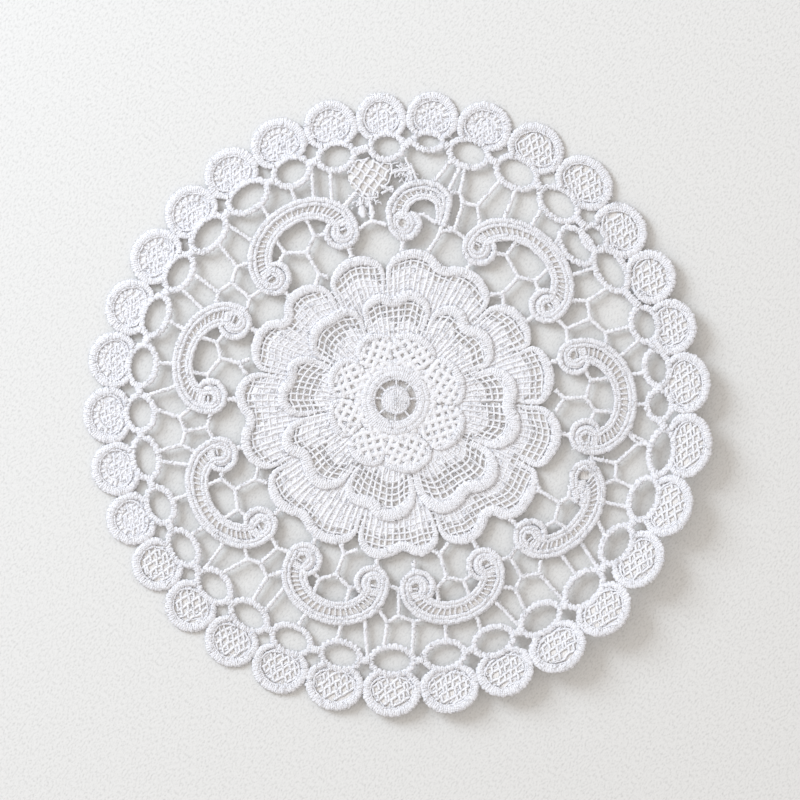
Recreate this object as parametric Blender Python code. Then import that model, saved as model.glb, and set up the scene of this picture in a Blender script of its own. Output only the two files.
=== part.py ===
"""A round lace doily, embroidered in one piece: a border of fans over oval eyelets, a ring of
C-scrolls held by wrapped bars, and a flower of three raised layers round a button.

The lace is one solid with a flat underside on Z = 0. Its plan is a set of outlines, joined
into one region with the gaps left open, and its upper face is raised over every padded cord,
rim and petal. Plan sizes are in millimetres, and angles are in degrees, anticlockwise from +X,
round the middle of the ring of scrolls. The finished mesh is moved to stand centred on Z.
"""

from collections import namedtuple

import bmesh
import bpy
import numpy as np
from mathutils import Vector
from mathutils.geometry import delaunay_2d_cdt

METRES_PER_MM = 0.001

# Thickness: heights above the underside.
SHEET_HIGH = 1.0
FAN_RIM_HIGH = 1.7
OVAL_RIM_HIGH = 1.7
SCROLL_BACK_HIGH = 1.8
SCROLL_INNER_HIGH = 1.5
LOBE_RIM_HIGH = 1.8
MIDDLE_MESH_HIGH = 1.4
MIDDLE_RIM_HIGH = 2.2
INNER_MESH_HIGH = 1.8
INNER_RIM_HIGH = 2.6
CENTRE_RING_HIGH = 2.7
BUTTON_HIGH = 2.9

# Border.
FAN_TALL = 8.6
FAN_FOOT_TALL = 10.2
FAN_LAP = 0.35
FAN_RIM_WIDE = 3.0
FAN_RIM_START = -25.0
FAN_RIM_SWEEP = 230.0
FAN_STEPS = 16
FAN_CREST_STEPS = 6
FAN_NET_STEPS = 5
OVAL_RIM_WIDE = 2.1
OVAL_STEPS = 12
OVAL_HOLE_STEPS = 10
OVAL_CREST_STEPS = 7
KNOT_WIDE = 2.2

# Scrolls. Side is how far a line passes the eyelets, and deep how far it lies under the top.
SPIRAL_RADIUS = 5.6
SPIRAL_SHIFT = 0.8
SPIRAL_STEPS = 14
SPIRAL_CREST_STEPS = 8
BACK_SIDE = 5.1
BACK_CORD_WIDE = 2.4
BACK_STEPS = 16
BACK_CREST_STEPS = 10
RUNGS_SIDE = 1.5
RUNGS_DEEP = 3.6
RUNGS_STEPS = 6
HOLLOW_SIDE = -1.5
HOLLOW_DEEP = 6.7
HOLLOW_STEPS = 8
INNER_CORD_WIDE = 1.8
INNER_CREST_STEPS = 6
TAIL_CREST_SHARE = 0.985
TAIL_BACK_PLACES = 8

# Bars: turn is degrees to either side, and drop millimetres towards the flower.
BAR_WIDE = 1.3
BAR_HEAD_RADIUS = 81.0
BAR_SINK = 1.0
FORK_FOOT_TURN = 3.0
CROSS_TIE_TURN = 4.0
CROSS_TIE_DROP = 1.3
TIE_ARM_TURN = 3.2
TIE_ARM_DROP = 1.2
TIE_ARCH_DROP = 2.8
CURL_KNOT_START = 1.0
CURL_KNOT_END = 9.2

# Flower.
FLOWER_CENTRE = (-1.0, 1.5)
LOBE_RIM_WIDE = 3.6
MIDDLE_RIM_WIDE = 3.8
INNER_RIM_WIDE = 2.8
RING_INSIDE = 6.7
RING_OUTSIDE = 10.8
RING_STEPS = 12
BUTTON_RADIUS = 4.6
BUTTON_DOME_RADIUS = 4.8
LOBE_STEPS = 4
DEEP_NOTCH = 5.0

# Making the plan into one region.
LOOP_TOLERANCE = 0.15
SMALLEST_GAP = 3.5
RELIEF_CLEAR = 0.5
MERGE = 0.01

Fan = namedtuple("Fan", "angle reach")
FANS = [
    Fan(*row)
    for row in (
        (4.7, 99.5), (16.3, 98.3), (27.0, 97.9), (38.0, 97.9), (50.3, 100.2), (62.0, 100.5),
        (73.0, 100.5), (83.5, 100.2), (93.5, 99.5), (103.5, 99.5), (114.7, 99.5), (126.0, 98.9),
        (137.0, 98.3), (148.5, 98.6), (160.0, 98.9), (171.0, 99.9), (182.0, 100.5), (193.0, 100.2),
        (203.0, 100.5), (213.5, 100.2), (224.0, 100.2), (234.5, 100.2), (245.5, 99.9), (257.0, 99.5),
        (268.5, 99.2), (280.3, 99.5), (291.8, 99.2), (303.3, 100.2), (315.0, 100.2), (327.0, 98.9),
        (339.3, 99.5), (352.0, 100.8),
    )
]

Oval = namedtuple("Oval", "angle radius half_wide half_high")
OVALS = [
    Oval(*row)
    for row in (
        (0.0, 82.7, 3.6, 2.7), (8.2, 82.8, 4.6, 2.7), (18.1, 82.2, 4.5, 3.0), (32.5, 79.8, 6.3, 3.2),
        (40.5, 81.7, 3.2, 2.2), (51.5, 81.6, 5.7, 3.4), (63.1, 82.7, 5.6, 3.6), (74.5, 83.0, 5.1, 3.3),
        (83.6, 84.3, 3.5, 1.7), (92.7, 82.2, 4.1, 3.0), (104.2, 81.4, 4.6, 3.2), (114.7, 81.6, 4.7, 3.4),
        (125.9, 81.7, 5.8, 3.2), (138.0, 81.3, 5.7, 3.0), (148.9, 81.6, 5.1, 2.8), (159.8, 82.4, 5.4, 2.9),
        (171.2, 82.5, 5.4, 3.3), (181.8, 82.2, 4.5, 3.4), (191.8, 82.2, 5.4, 3.0), (202.8, 82.2, 4.7, 3.0),
        (213.5, 82.2, 5.0, 3.0), (224.4, 82.2, 5.0, 3.2), (234.6, 82.2, 5.2, 3.0), (245.4, 82.0, 5.2, 3.2),
        (256.9, 81.7, 5.1, 3.2), (268.5, 81.3, 5.7, 3.3), (280.3, 80.8, 5.3, 3.2), (291.8, 80.8, 5.3, 3.2),
        (303.5, 81.4, 5.7, 3.2), (315.2, 82.8, 6.1, 3.4), (327.3, 82.2, 5.5, 3.1), (339.0, 83.3, 5.8, 3.2),
        (349.9, 84.7, 5.9, 2.7),
    )
]
LOW_OVAL = Oval(41.8, 75.8, 5.6, 3.0)
# Gaps between two fans where the fans are too close to leave one by themselves.
FAN_GAPS = [
    Oval(*row)
    for row in (
        (11.8, 85.4, 1.4, 2.3), (23.6, 83.6, 1.5, 2.3), (32.2, 86.4, 1.1, 2.0), (344.9, 87.8, 1.5, 2.4),
        (356.8, 86.4, 1.5, 2.5),
    )
]

# Each end of a scroll curls round an eyelet; high is the curl's half height.
Scroll = namedtuple("Scroll", "left left_radius left_high right right_radius right_high top")
SCROLLS = [
    Scroll(*row)
    for row in (
        (-10.0, 60.4, 5.6, 15.7, 57.9, 5.6, 75.7),
        (33.3, 56.6, 5.6, 63.3, 56.0, 5.6, 71.6),
        (107.7, 57.9, 5.6, 135.3, 56.6, 5.6, 73.1),
        (152.7, 58.5, 5.6, 178.0, 60.1, 5.6, 73.5),
        (195.0, 58.8, 5.6, 221.3, 58.2, 5.6, 73.8),
        (238.0, 57.6, 5.6, 262.0, 57.2, 5.6, 73.1),
        (275.3, 58.2, 5.6, 298.7, 57.6, 5.6, 71.9),
        (314.5, 59.1, 5.6, 339.0, 62.0, 3.1, 73.1),
    )
]

Place = namedtuple("Place", "angle radius")
ODD_SPIRAL = Place(88.7, 57.6)
# The one scroll with a single curl: its other end runs down into a plain tail.
ODD_SCROLL = [
    Place(*row)
    for row in (
        (94.6, 59.5), (93.6, 64.5), (91.0, 68.8), (87.5, 71.6), (83.5, 72.5), (79.5, 72.0), (76.6, 70.4),
        (74.7, 67.5), (74.7, 62.5), (74.9, 58.2), (77.9, 58.2), (78.1, 63.0), (80.0, 65.6), (82.3, 66.3),
        (84.8, 65.0), (87.0, 61.0),
    )
]
MESH_PATCH = [
    Place(*row)
    for row in (
        (97.5, 78.3), (94.6, 76.2), (92.0, 73.8), (94.4, 70.0), (98.5, 66.4), (101.6, 69.0), (103.1, 72.8),
        (100.5, 75.9),
    )
]

# Bars from a scroll's back to the ovals: the angle of each end.
Bar = namedtuple("Bar", "foot head")
BARS = [
    Bar(*row)
    for row in (
        (0.2, 0.2), (7.5, 7.5), (12.5, 15.2), (37.0, 35.0), (45.8, 47.2), (53.5, 54.0), (60.5, 61.5),
        (77.0, 75.5), (82.0, 77.7), (88.0, 88.6), (108.3, 106.3), (112.5, 110.0), (117.0, 116.4),
        (124.8, 124.4), (131.8, 133.7), (154.0, 151.8), (160.5, 159.8), (169.5, 170.2), (175.0, 178.0),
        (196.0, 193.2), (203.0, 202.8), (212.0, 212.0), (218.2, 220.2), (238.0, 236.9), (246.0, 245.4),
        (255.3, 255.3), (261.0, 263.0), (282.0, 281.4), (290.3, 290.0), (296.0, 298.7), (317.3, 316.2),
        (323.0, 320.6), (330.0, 327.6), (334.5, 336.0), (353.3, 351.0),
    )
]

# Between two scrolls: a Y whose arms reach the ovals, on a stem down to a cross tie.
Fork = namedtuple(
    "Fork",
    "left left_radius valley valley_radius right right_radius left_head right_head tie tie_radius",
)
FORKS = [
    Fork(*row)
    for row in (
        (19.2, 69.6, 24.3, 66.6, 28.8, 68.4, 18.7, 29.3, 24.4, 58.5),
        (68.5, 68.0, 72.4, 67.4, 73.8, 70.0, 65.6, 74.5, 72.3, 58.2),
        (139.5, 67.7, 143.8, 65.8, 148.0, 67.7, 138.2, 147.4, 144.3, 58.3),
        (183.2, 69.9, 187.0, 68.4, 190.4, 70.2, 180.8, 190.9, 186.7, 61.3),
        (225.5, 68.6, 228.8, 66.8, 232.5, 68.8, 223.5, 233.3, 229.6, 59.6),
        (267.0, 69.2, 270.0, 67.0, 274.0, 69.0, 266.4, 273.0, 269.9, 58.5),
        (302.3, 69.3, 305.5, 67.1, 309.8, 69.7, 301.5, 310.0, 306.2, 59.8),
        (341.0, 72.8, 345.0, 71.5, 350.8, 77.0, 340.5, 351.0, 344.6, 63.5),
    )
]

# Inside a scroll: two short bars meet at a node, whose stem ends in a small arch on the flower.
Tie = namedtuple(
    "Tie",
    "top left left_radius right right_radius node node_radius foot_radius left_foot right_foot",
)
TIES = [
    Tie(*row)
    for row in (
        (68.7, -1.8, 62.3, 7.3, 61.4, 2.3, 59.5, 52.6, -2.6, 5.6),
        (64.8, 42.3, 58.5, 54.3, 58.5, 47.0, 55.6, 48.3, 42.6, 50.6),
        (66.0, 116.5, 60.1, 126.8, 60.4, 121.3, 56.6, 49.0, 119.0, 125.0),
        (66.8, 161.0, 61.1, 171.0, 61.7, 165.3, 58.5, 52.4, 162.8, 168.6),
        (66.8, 202.7, 61.1, 213.0, 61.0, 207.3, 58.5, 51.4, 203.6, 210.6),
        (66.0, 245.5, 60.7, 255.0, 60.1, 249.7, 57.5, 50.6, 247.4, 254.0),
        (65.0, 281.5, 59.5, 290.3, 59.5, 285.4, 56.9, 49.3, 281.6, 289.6),
        (66.4, 323.5, 61.7, 331.5, 61.4, 328.7, 59.8, 52.5, 326.0, 331.0),
    )
]

# Bars round the odd scroll and the patch of mesh beside it, each a path of places.
ODD_BARS = [
    [Place(*row) for row in path]
    for path in (
        ((84.6, 60.2), (83.0, 61.1), (76.4, 58.6), (72.3, 58.0)),
        ((76.4, 58.8), (77.0, 54.6), (79.3, 49.5)),
        ((94.6, 69.6), (90.6, 68.0)),
        ((101.2, 69.0), (105.2, 65.6)),
        ((98.4, 67.0), (98.4, 58.7)),
        ((94.0, 57.4), (96.6, 58.5), (98.4, 58.9), (100.2, 58.5), (104.2, 56.6)),
    )
]
LEAF = Oval(99.7, 62.4, 1.3, 2.1)

# The flower's layers: each bump's top, and the notch after it, going round.
Lobe = namedtuple("Lobe", "angle reach notch notch_radius")
OUTER_LOBES = [
    Lobe(*row)
    for row in (
        (11.0, 51.2, 22.0, 46.1), (31.5, 49.0, 45.3, 40.5), (58.5, 48.0, 70.5, 44.8),
        (81.0, 48.7, 94.7, 40.5), (107.0, 47.7, 120.7, 39.4), (135.0, 47.9, 144.5, 43.2),
        (155.5, 49.6, 168.0, 42.9), (178.0, 51.2, 187.5, 47.4), (197.5, 51.5, 209.3, 43.6),
        (221.0, 50.9, 231.0, 48.0), (240.5, 50.9, 254.0, 43.2), (263.0, 50.9, 273.0, 47.4),
        (279.5, 50.4, 288.0, 43.6), (298.5, 51.2, 310.0, 46.4), (319.5, 54.1, 334.0, 48.7),
        (346.0, 54.1, 358.0, 44.8),
    )
]
MIDDLE_LOBES = [
    Lobe(*row)
    for row in (
        (5.0, 38.8, 19.5, 30.2), (36.0, 36.3, 46.0, 33.1), (54.5, 35.9, 67.7, 28.6),
        (82.0, 35.6, 91.5, 32.4), (99.0, 34.7, 112.0, 28.0), (124.0, 34.7, 128.0, 34.5),
        (136.0, 35.6, 152.0, 28.0), (162.0, 36.3, 169.0, 35.5), (178.0, 38.0, 190.3, 30.0),
        (203.0, 39.1, 211.5, 35.3), (224.0, 37.8, 238.5, 29.3), (248.0, 35.9, 255.0, 35.0),
        (266.0, 38.5, 282.5, 28.6), (297.0, 39.4, 308.5, 37.2), (319.0, 40.7, 332.7, 31.8),
        (347.0, 40.4, 357.5, 37.2),
    )
]
INNER_LOBES = [
    Lobe(*row)
    for row in (
        (16.0, 22.9, 46.0, 18.1), (74.0, 22.3, 93.5, 18.4), (115.0, 22.9, 133.5, 16.5),
        (156.0, 23.2, 178.0, 17.8), (198.0, 22.6, 219.0, 18.1), (240.0, 23.2, 259.0, 19.1),
        (285.0, 23.7, 306.5, 18.4), (333.0, 23.9, 354.5, 19.1),
    )
]

# A padded cord: the line of its crest, half its width, and its height.
Cord = namedtuple("Cord", "path half_wide high")


def polar(angle, radius, centre=(0.0, 0.0)):
    """The points at these angles and radii round a centre, as rows of x and y."""
    turn = np.radians(np.asarray(angle, float))
    reach = np.asarray(radius, float)
    return np.stack([centre[0] + reach * np.cos(turn), centre[1] + reach * np.sin(turn)], axis=-1)


def places(rows):
    return polar([row.angle for row in rows], [row.radius for row in rows])


def closed(path):
    return np.vstack([path, path[:1]])


def ellipse(angle, radius, half_wide, half_high, steps, start=0.0, sweep=360.0):
    """An ellipse that lies along the ring at this angle: wide along it, high away from the centre."""
    count = steps if sweep == 360.0 else steps + 1
    turn = np.radians(start + sweep * np.arange(count) / steps)
    outward = polar(angle, 1.0)
    along = np.array([-outward[1], outward[0]])
    return (
        radius * outward
        + np.outer(half_wide * np.cos(turn), along)
        + np.outer(half_high * np.sin(turn), outward)
    )


def strip(path, wide):
    """The outline of a flat strip along a path."""
    path = np.asarray(path, float)
    run = np.gradient(path, axis=0)
    run /= np.linalg.norm(run, axis=1)[:, None]
    side = np.stack([-run[:, 1], run[:, 0]], axis=1) * wide / 2
    return np.vstack([path + side, (path - side)[::-1]])


def bar(*ends, wide=BAR_WIDE):
    """A strip through places given as (angle, radius)."""
    angle, radius = zip(*ends)
    return strip(polar(angle, radius), wide)


# Border -----------------------------------------------------------------------------------


def fan_shape(index, inset, steps, start, sweep):
    """One fan's outline, drawn in by an inset. It fills the room up to its neighbours."""
    fan = FANS[index]
    before = FANS[index - 1].angle - (360.0 if index == 0 else 0.0)
    after = FANS[(index + 1) % len(FANS)].angle + (360.0 if index == len(FANS) - 1 else 0.0)
    left = (fan.angle + before) / 2
    right = (fan.angle + after) / 2
    middle = fan.reach - FAN_TALL
    half_wide = middle * np.radians(right - left) / 2 + FAN_LAP - inset
    top = ellipse((left + right) / 2, middle, half_wide, FAN_TALL - inset, steps, start, sweep)
    foot = ellipse((left + right) / 2, middle, half_wide, FAN_FOOT_TALL - inset, steps, start, sweep)
    below = np.sin(np.radians(start + sweep * np.arange(len(top)) / steps)) < 0
    return np.where(below[:, None], foot, top)


def oval_shape(oval, outset, steps):
    return ellipse(oval.angle, oval.radius, oval.half_wide + outset, oval.half_high + outset, steps)


def border():
    """Outlines and holes of the fans and the ovals, and the crests of their rims."""
    outlines = [fan_shape(i, 0.0, FAN_STEPS, 0.0, 360.0) for i in range(len(FANS))]
    holes = []
    cords = []
    lines = []
    for index in range(len(FANS)):
        half = FAN_RIM_WIDE / 2
        crest = fan_shape(index, half, FAN_CREST_STEPS, FAN_RIM_START, FAN_RIM_SWEEP)
        cords.append(Cord(crest, half, FAN_RIM_HIGH))
        lines.append(fan_shape(index, 2 * half, FAN_NET_STEPS, FAN_RIM_START, FAN_RIM_SWEEP))
    for oval in OVALS + [LOW_OVAL]:
        outlines.append(oval_shape(oval, OVAL_RIM_WIDE, OVAL_STEPS))
        holes.append(oval_shape(oval, 0.0, OVAL_HOLE_STEPS))
        crest = closed(oval_shape(oval, OVAL_RIM_WIDE / 2, OVAL_CREST_STEPS))
        cords.append(Cord(crest, OVAL_RIM_WIDE / 2, OVAL_RIM_HIGH))
    holes.extend(oval_shape(gap, 0.0, OVAL_CREST_STEPS) for gap in FAN_GAPS)
    for index, oval in enumerate(OVALS):
        before = OVALS[index - 1]
        start = polar(before.angle, before.radius)
        end = polar(oval.angle, oval.radius)
        outlines.append(strip([start, end], KNOT_WIDE))
    return outlines, holes, cords, lines


# Scrolls ----------------------------------------------------------------------------------


def scroll_arch(scroll, side, deep, steps, start=0.0, sweep=180.0):
    """An arch over both eyelets, past them by side and under the scroll's top by deep."""
    turn = np.radians(start + sweep * np.arange(steps + 1) / steps)
    middle = (scroll.left + scroll.right) / 2
    half = (scroll.right - scroll.left) / 2
    share = (1 + np.cos(turn)) / 2
    base = scroll.left_radius + (scroll.right_radius - scroll.left_radius) * share
    angle = middle + (half + np.degrees(side / base)) * np.cos(turn)
    rise = scroll.top - deep - (scroll.left_radius + scroll.right_radius) / 2
    return polar(angle, base + rise * np.sin(turn))


def spiral_shape(angle, radius, high, inward, inset, steps):
    """The round of one curl. Its middle is a little nearer the scroll's own middle than the eyelet."""
    shift = inward * np.degrees(SPIRAL_SHIFT / radius)
    return ellipse(angle + shift, radius, SPIRAL_RADIUS - inset, high - inset, steps)


def spirals():
    """Every curl's eyelet angle and radius, its half height, and which way the scroll lies."""
    for scroll in SCROLLS:
        yield scroll.left, scroll.left_radius, scroll.left_high, 1
        yield scroll.right, scroll.right_radius, scroll.right_high, -1
    yield ODD_SPIRAL.angle, ODD_SPIRAL.radius, SPIRAL_RADIUS, -1


def scroll_ring():
    """Outlines and crests of the scrolls."""
    outlines = [places(ODD_SCROLL)]
    tail_crest = places(ODD_SCROLL[:TAIL_BACK_PLACES]) * TAIL_CREST_SHARE
    cords = [Cord(tail_crest, BACK_CORD_WIDE / 2, SCROLL_BACK_HIGH)]
    lines = []
    for scroll in SCROLLS:
        back = scroll_arch(scroll, BACK_SIDE, 0.0, BACK_STEPS)
        hollow = scroll_arch(scroll, HOLLOW_SIDE, HOLLOW_DEEP, HOLLOW_STEPS)
        outlines.append(np.vstack([back, hollow[::-1]]))
        half = BACK_CORD_WIDE / 2
        crest = scroll_arch(scroll, BACK_SIDE - half, half, BACK_CREST_STEPS)
        cords.append(Cord(crest, half, SCROLL_BACK_HIGH))
        half = INNER_CORD_WIDE / 2
        crest = scroll_arch(scroll, HOLLOW_SIDE + half, HOLLOW_DEEP - half, INNER_CREST_STEPS, 30.0, 120.0)
        cords.append(Cord(crest, half, SCROLL_INNER_HIGH))
        lines.append(scroll_arch(scroll, RUNGS_SIDE, RUNGS_DEEP, RUNGS_STEPS, 15.0, 150.0))
    for angle, radius, high, inward in spirals():
        half = BACK_CORD_WIDE / 2
        outlines.append(spiral_shape(angle, radius, high, inward, 0.0, SPIRAL_STEPS))
        crest = closed(spiral_shape(angle, radius, high, inward, half, SPIRAL_CREST_STEPS))
        cords.append(Cord(crest, half, SCROLL_BACK_HIGH))
        lines.append(polar([angle, angle], [radius - half / 4, radius + half / 4]))
    return outlines, cords, lines


def bars():
    """Outlines of every wrapped bar, of the patch of mesh and of the leaf beside it.

    A full round curl is also knotted to the flower under it; the one flat curl is not.
    """
    outlines = [bar((row.foot, back_radius(row.foot)), (row.head, BAR_HEAD_RADIUS)) for row in BARS]
    for fork in FORKS:
        valley = (fork.valley, fork.valley_radius)
        left = (fork.left, fork.left_radius)
        right = (fork.right, fork.right_radius)
        tie = (fork.tie, fork.tie_radius)
        left_foot = (fork.left - FORK_FOOT_TURN, back_radius(fork.left - FORK_FOOT_TURN))
        right_foot = (fork.right + FORK_FOOT_TURN, back_radius(fork.right + FORK_FOOT_TURN))
        left_tie = (fork.tie - CROSS_TIE_TURN, fork.tie_radius - CROSS_TIE_DROP)
        right_tie = (fork.tie + CROSS_TIE_TURN, fork.tie_radius - CROSS_TIE_DROP)
        outlines.append(bar(left_foot, left, valley))
        outlines.append(bar(valley, right, right_foot))
        outlines.append(bar(left, (fork.left_head, BAR_HEAD_RADIUS)))
        outlines.append(bar(right, (fork.right_head, BAR_HEAD_RADIUS)))
        outlines.append(bar(valley, tie))
        outlines.append(bar(left_tie, tie, right_tie))
    for tie in TIES:
        left = (tie.left, tie.left_radius)
        right = (tie.right, tie.right_radius)
        node = (tie.node, tie.node_radius)
        foot = (tie.node, tie.foot_radius)
        outlines.append(bar(left, (tie.left, tie.top)))
        outlines.append(bar(right, (tie.right, tie.top)))
        left_end = (tie.left - TIE_ARM_TURN, tie.left_radius - TIE_ARM_DROP)
        right_end = (tie.right + TIE_ARM_TURN, tie.right_radius - TIE_ARM_DROP)
        arch_radius = tie.foot_radius - TIE_ARCH_DROP
        outlines.append(bar(left_end, left, node))
        outlines.append(bar(node, right, right_end))
        outlines.append(bar(node, foot))
        outlines.append(bar((tie.left_foot, arch_radius), foot, (tie.right_foot, arch_radius)))
    for angle, radius, high, _ in spirals():
        if high == SPIRAL_RADIUS:
            start = (angle, radius - high + CURL_KNOT_START)
            outlines.append(bar(start, (angle, radius - CURL_KNOT_END), wide=KNOT_WIDE))
    for path in ODD_BARS:
        outlines.append(bar(*path))
    outlines.append(places(MESH_PATCH))
    outlines.append(oval_shape(LEAF, 0.0, 8))
    return outlines


def back_radius(angle):
    """Where a bar at this angle runs into the back of the scroll under it."""
    for scroll in SCROLLS:
        middle = (scroll.left + scroll.right) / 2
        half = (scroll.right - scroll.left) / 2 + np.degrees(BACK_SIDE / scroll.left_radius)
        off = (angle - middle + 180.0) % 360.0 - 180.0
        if abs(off) < half:
            base = (scroll.left_radius + scroll.right_radius) / 2
            return base + (scroll.top - base) * np.sqrt(1 - (off / half) ** 2) - BAR_SINK
    return ODD_SCROLL[6].radius - BAR_SINK


# Flower -----------------------------------------------------------------------------------


def layer_shape(lobes, inset, steps):
    """A petal layer's outline: an elliptic rise to each bump, easier where the notch is shallow."""
    angles = []
    reaches = []
    for index, lobe in enumerate(lobes):
        before = lobes[index - 1]
        for notch, notch_radius, side in (
            (before.notch, before.notch_radius, -1),
            (lobe.notch, lobe.notch_radius, 1),
        ):
            span = abs((notch - lobe.angle + 180.0) % 360.0 - 180.0)
            deep = lobe.reach - notch_radius > DEEP_NOTCH
            share = np.arange(steps) / steps
            share = 1 - share if side < 0 else share
            rise = (1 - share**2) ** (0.5 if deep else 1.0)
            angles.append(lobe.angle + side * span * share)
            reaches.append(notch_radius + (lobe.reach - notch_radius) * rise - inset)
    return polar(np.concatenate(angles), np.concatenate(reaches), FLOWER_CENTRE)


def circle(radius, steps):
    return polar(360.0 * np.arange(steps) / steps, radius, FLOWER_CENTRE)


def flower():
    """The outer outline, the lines and crests of the raised layers, and each layer's floor."""
    cords = []
    lines = []
    floors = []
    for lobes, rim_wide, rim_high, floor_high, steps in (
        (OUTER_LOBES, LOBE_RIM_WIDE, LOBE_RIM_HIGH, SHEET_HIGH, 2),
        (MIDDLE_LOBES, MIDDLE_RIM_WIDE, MIDDLE_RIM_HIGH, MIDDLE_MESH_HIGH, 2),
        (INNER_LOBES, INNER_RIM_WIDE, INNER_RIM_HIGH, INNER_MESH_HIGH, 3),
    ):
        crest = layer_shape(lobes, rim_wide / 2, steps)
        cords.append(Cord(closed(crest), rim_wide / 2, rim_high))
        floors.append((crest, floor_high))
        lines.append(closed(layer_shape(lobes, rim_wide, steps)))
        if lobes is not OUTER_LOBES:
            lines.append(closed(layer_shape(lobes, 0.0, steps)))
    ring_middle = (RING_INSIDE + RING_OUTSIDE) / 2
    ring_half = (RING_OUTSIDE - RING_INSIDE) / 2
    cords.append(Cord(closed(circle(ring_middle, RING_STEPS)), ring_half, CENTRE_RING_HIGH))
    button = np.array([FLOWER_CENTRE, FLOWER_CENTRE])
    cords.append(Cord(button, BUTTON_DOME_RADIUS, BUTTON_HIGH))
    for radius in (RING_OUTSIDE, RING_INSIDE, BUTTON_RADIUS):
        lines.append(closed(circle(radius, RING_STEPS)))
    lines.append(closed(circle(BUTTON_RADIUS / 2, RING_STEPS // 2)))
    return [layer_shape(OUTER_LOBES, 0.0, LOBE_STEPS)], cords, lines, floors


# One region -------------------------------------------------------------------------------


def inside(outline, points):
    """Which points lie inside a closed outline, by counting the sides to the right of each."""
    start = outline
    end = np.roll(outline, -1, axis=0)
    x = points[:, 0, None]
    y = points[:, 1, None]
    spans = (start[:, 1] > y) != (end[:, 1] > y)
    rise = np.where(start[:, 1] == end[:, 1], 1.0, end[:, 1] - start[:, 1])
    cross = start[:, 0] + (y - start[:, 1]) * (end[:, 0] - start[:, 0]) / rise
    return (spans & (x < cross)).sum(axis=1) % 2 == 1


def distance(points, path):
    """How far each point is from a path of straight runs."""
    start = path[:-1]
    run = path[1:] - start
    length = np.maximum((run**2).sum(axis=1), 1e-12)
    away = points[:, None] - start
    share = np.clip((away * run).sum(axis=2) / length, 0, 1)
    return np.linalg.norm(away - share[..., None] * run, axis=2).min(axis=1)


def triangles(paths):
    """The plane triangulated with every run of these paths as an edge."""
    points = []
    edges = []
    for path in paths:
        first = len(points)
        points.extend(Vector((float(x), float(y))) for x, y in path)
        edges.extend((i, i + 1) for i in range(first, len(points) - 1))
    made = delaunay_2d_cdt(points, edges, [], 0, MERGE, False)
    return np.array([tuple(v) for v in made[0]]), np.array(made[2])


def region_loops(points, faces):
    """The directed loops of edges round the chosen triangles, outer ones anticlockwise."""
    sides = [(a, b) for face in faces for a, b in zip(face, np.roll(face, -1))]
    present = set(sides)
    follow = {}
    for a, b in sides:
        if (b, a) not in present:
            if a in follow:
                raise ValueError(f"two gaps touch at {points[a]}")
            follow[a] = b
    loops = []
    while follow:
        first, second = follow.popitem()
        loop = [first]
        while second != first:
            loop.append(second)
            second = follow.pop(second)
        loops.append(points[loop])
    return loops


def area(loop):
    x, y = loop.T
    return ((x * np.roll(y, -1) - np.roll(x, -1) * y).sum()) / 2


def plainer(loop):
    """The loop without the points that lie on, or next to, the line between their neighbours."""
    loop = loop.copy()
    while len(loop) > 4:
        before = np.roll(loop, 1, axis=0)
        run = np.roll(loop, -1, axis=0) - before
        away = loop - before
        off = np.abs(run[:, 0] * away[:, 1] - run[:, 1] * away[:, 0])
        off /= np.maximum(np.linalg.norm(run, axis=1), 1e-9)
        least = off.argmin()
        if off[least] > LOOP_TOLERANCE:
            break
        loop = np.delete(loop, least, axis=0)
    return loop


def joined(outlines, holes):
    """The loops of the region that the outlines cover together, less the holes."""
    points, faces = triangles([closed(path) for path in outlines + holes])
    middles = points[faces].mean(axis=1)
    solid = np.zeros(len(faces), bool)
    for outline in outlines:
        solid |= inside(outline, middles)
    for hole in holes:
        solid &= ~inside(hole, middles)
    loops = [plainer(loop) for loop in region_loops(points, faces[solid])]
    return [loop for loop in loops if abs(area(loop)) > SMALLEST_GAP]


def kept_runs(line, loops):
    """The runs of a line that lie well inside the region."""
    clear = distance(line, closed(loops[0])) > RELIEF_CLEAR
    for loop in loops[1:]:
        clear &= distance(line, closed(loop)) > RELIEF_CLEAR
    clear &= within(line, loops)
    first, *others = np.split(line, np.flatnonzero(~clear))
    runs = [first] + [run[1:] for run in others]
    return [run for run in runs if len(run) > 1]


def within(points, loops):
    """Which points lie in the region: inside one more loop that goes round than holes."""
    count = np.zeros(len(points), int)
    for loop in loops:
        count += inside(loop, points)
    return count % 2 == 1


def heights(points, cords, floors):
    """The upper face over each point: the floor there, or the round back of a cord over it."""
    high = np.full(len(points), SHEET_HIGH)
    for outline, floor in floors:
        high[inside(outline, points)] = floor
    for cord in cords:
        off = np.clip(distance(points, cord.path) / cord.half_wide, 0, 1)
        high = np.maximum(high, SHEET_HIGH + (cord.high - SHEET_HIGH) * np.sqrt(1 - off**2))
    return high


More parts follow.
